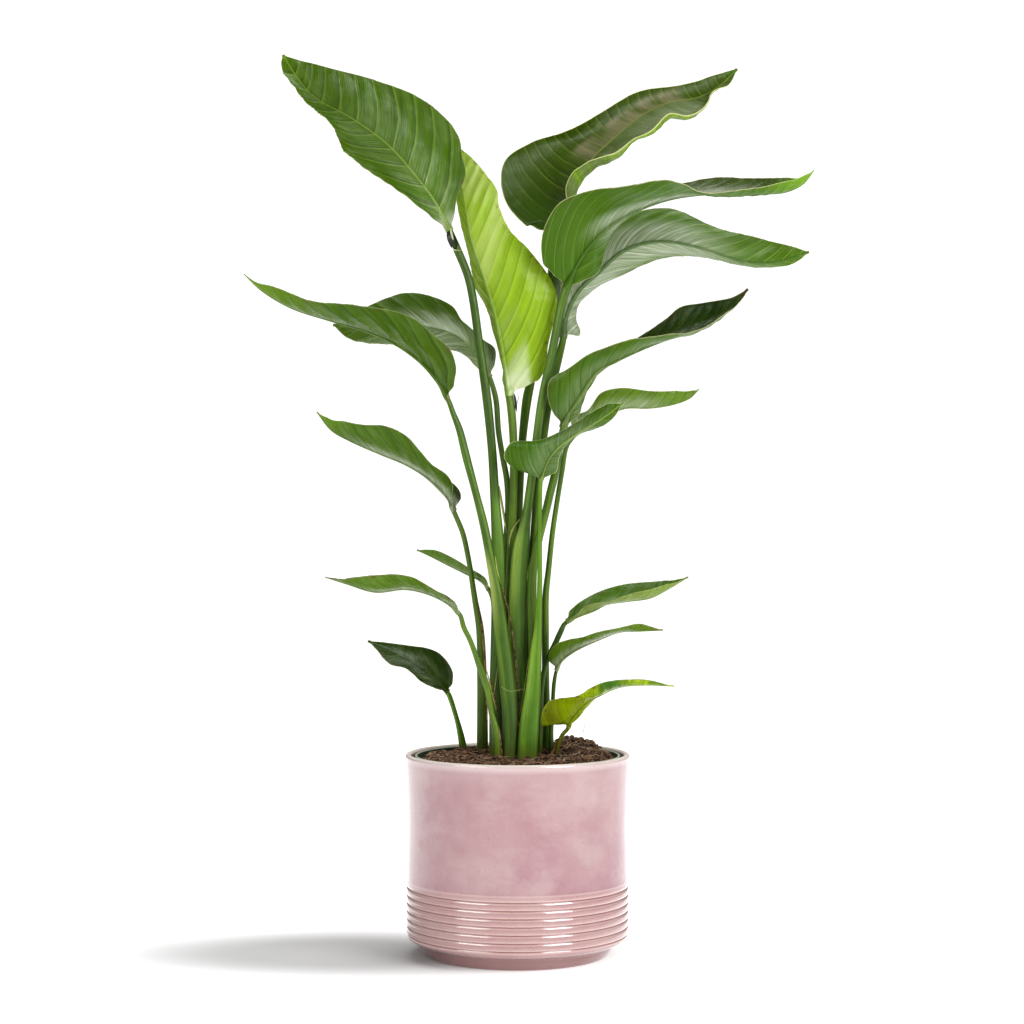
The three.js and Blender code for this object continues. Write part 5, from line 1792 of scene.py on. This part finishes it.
@dataclass
class Studio:
    """A pale floor with a painted shadow, soft lights and the photograph's camera. In metres."""

    lens: float = 79.1
    sensor: float = 36.0
    ambient: float = 0.3
    mirrored: float = 0.16
    floor_grey: float = 0.6
    floor_size: float = 14.0

    def build(self) -> None:
        """Makes the camera, the lights and the floor."""
        scene = bpy.context.scene
        camera = bpy.data.objects.new("camera", bpy.data.cameras.new("camera"))
        camera.data.lens = self.lens
        camera.data.sensor_width = self.sensor
        camera.location = EYE
        camera.rotation_euler = (math.pi / 2, 0, 0)
        scene.collection.objects.link(camera)
        scene.camera = camera
        scene.view_settings.view_transform = "Standard"
        scene.view_settings.look = "Medium High Contrast"
        scene.world = self.surroundings()
        self.light("key", (1.4, -1.45, 1.35), (1.15, 1.7), 28.0, 0.4)
        self.light("fill", (-1.5, -1.3, 1.3), (1.3, 1.5), 13.0, 0.45)
        self.light("top", (0.1, 0.8, 2.3), (1.9, 1.1), 22.0, 0.5)
        self.light("strip_right", (1.4, -1.45, 1.2), (1.15, 0.3), 14.0, 0.1, False)
        self.light("strip_left", (-1.5, -1.3, 1.15), (1.3, 0.25), 8.0, 0.1, False)
        self.floor()

    def surroundings(self) -> bpy.types.World:
        """Makes the world: white to the camera, grey as light, and dark in reflections."""
        world = bpy.data.worlds.new("studio")
        world.use_nodes = True
        tree = world.node_tree
        shown = tree.nodes["Background"]
        shown.inputs["Color"].default_value = (*WHITE, 1.0)
        shown.inputs["Strength"].default_value = self.ambient
        sight = tree.nodes.new("ShaderNodeLightPath")
        for rays, strength in (("Is Glossy Ray", self.mirrored), ("Is Camera Ray", 1.0)):
            other = tree.nodes.new("ShaderNodeBackground")
            other.inputs["Color"].default_value = (*WHITE, 1.0)
            other.inputs["Strength"].default_value = strength
            mixed = tree.nodes.new("ShaderNodeMixShader")
            outputs = (sight.outputs[rays], shown.outputs[0], other.outputs[0])
            for number, output in enumerate(outputs):
                tree.links.new(output, mixed.inputs[number])
            shown = mixed
        tree.links.new(shown.outputs[0], tree.nodes["World Output"].inputs["Surface"])
        return world

    def floor(self) -> None:
        """Makes the floor: grey, but glowing white away from a patch left of the planter, which
        leaves a painted shadow there.
        """
        deselect()
        bpy.ops.mesh.primitive_plane_add(size=self.floor_size, location=(0, 0, 0))
        floor = named("studio_floor")
        shader = Shader("studio_floor")
        x, y, _ = shader.parts(shader.place())
        # painted shadow: the floor glows white everywhere but in a patch round the planter, off to
        # its left
        aside = x + 0.17
        away = shader.maths("SQRT", aside * aside + y * y * 4.0, 0.0)
        painted_glow = shader.blend(shader.smooth(away, 0.1, 0.37), (0.0, 0.0, 0.0), WHITE)
        sockets = {"Emission Color": painted_glow, "Emission Strength": 0.8}
        floor.data.materials.append(shader.finish((self.floor_grey,) * 3, 0.8, sockets))

    def light(
        self, name: str, place: Point, size: Point, power: float, aim: float, diffuse: bool = True
    ) -> None:
        """Adds a soft rectangular light.

        Args:
            name: The light's name.
            place: Where it hangs.
            size: Its width and height.
            power: Its power, in watts.
            aim: How high over the origin it points.
            diffuse: Whether it lights surfaces, and not only their gloss.
        """
        lamp = bpy.data.lights.new(name, "AREA")
        lamp.shape = "RECTANGLE"
        lamp.size, lamp.size_y = size
        lamp.energy = power
        piece = bpy.data.objects.new(name, lamp)
        piece.location = place
        way = Vector((0.0, 0.0, aim)) - Vector(place)
        piece.rotation_euler = way.to_track_quat("-Z", "Y").to_euler()
        piece.visible_diffuse = diffuse
        bpy.context.scene.collection.objects.link(piece)


@dataclass
class Plant:
    """The 17 leaves, each a blade on a stalk."""

    small_blade: tuple[int, int] = (90, 18)

    def build(self) -> list[bpy.types.Object]:
        """Makes every leaf, settles it on its CAD nodes and gives the stalks."""
        stalks = []
        for number, leaf in enumerate(LEAVES):
            name, look, shift = leaf.name, LOOKS[leaf.name], 3.7 * number + 1.0
            blade = Blade(leaf, look, *(self.small_blade if leaf.small() else ()))
            skin = LeafFinish(name, look).material()
            settle(blade.build(shift), 50, look.slot, skin, "blade_" + name)
            stem = Stalk(leaf)
            finish = StalkFinish(name, stem.girth(), **STALKS.get(name, {}))
            stalk = stem.build(shift)
            stalks.append(settle(stalk, 60, "stalk_green", finish.material(), "stalk_" + name))
        return stalks


def main() -> None:
    """Builds the studio, the holder, the soil and the leaves, and reports each piece."""
    Studio().build()
    Planter().build()
    GrowingPot().build()
    Soil().build()
    stalks = Plant().build()
    DryParts(stalks).build()


if __name__ == "__main__":
    main()
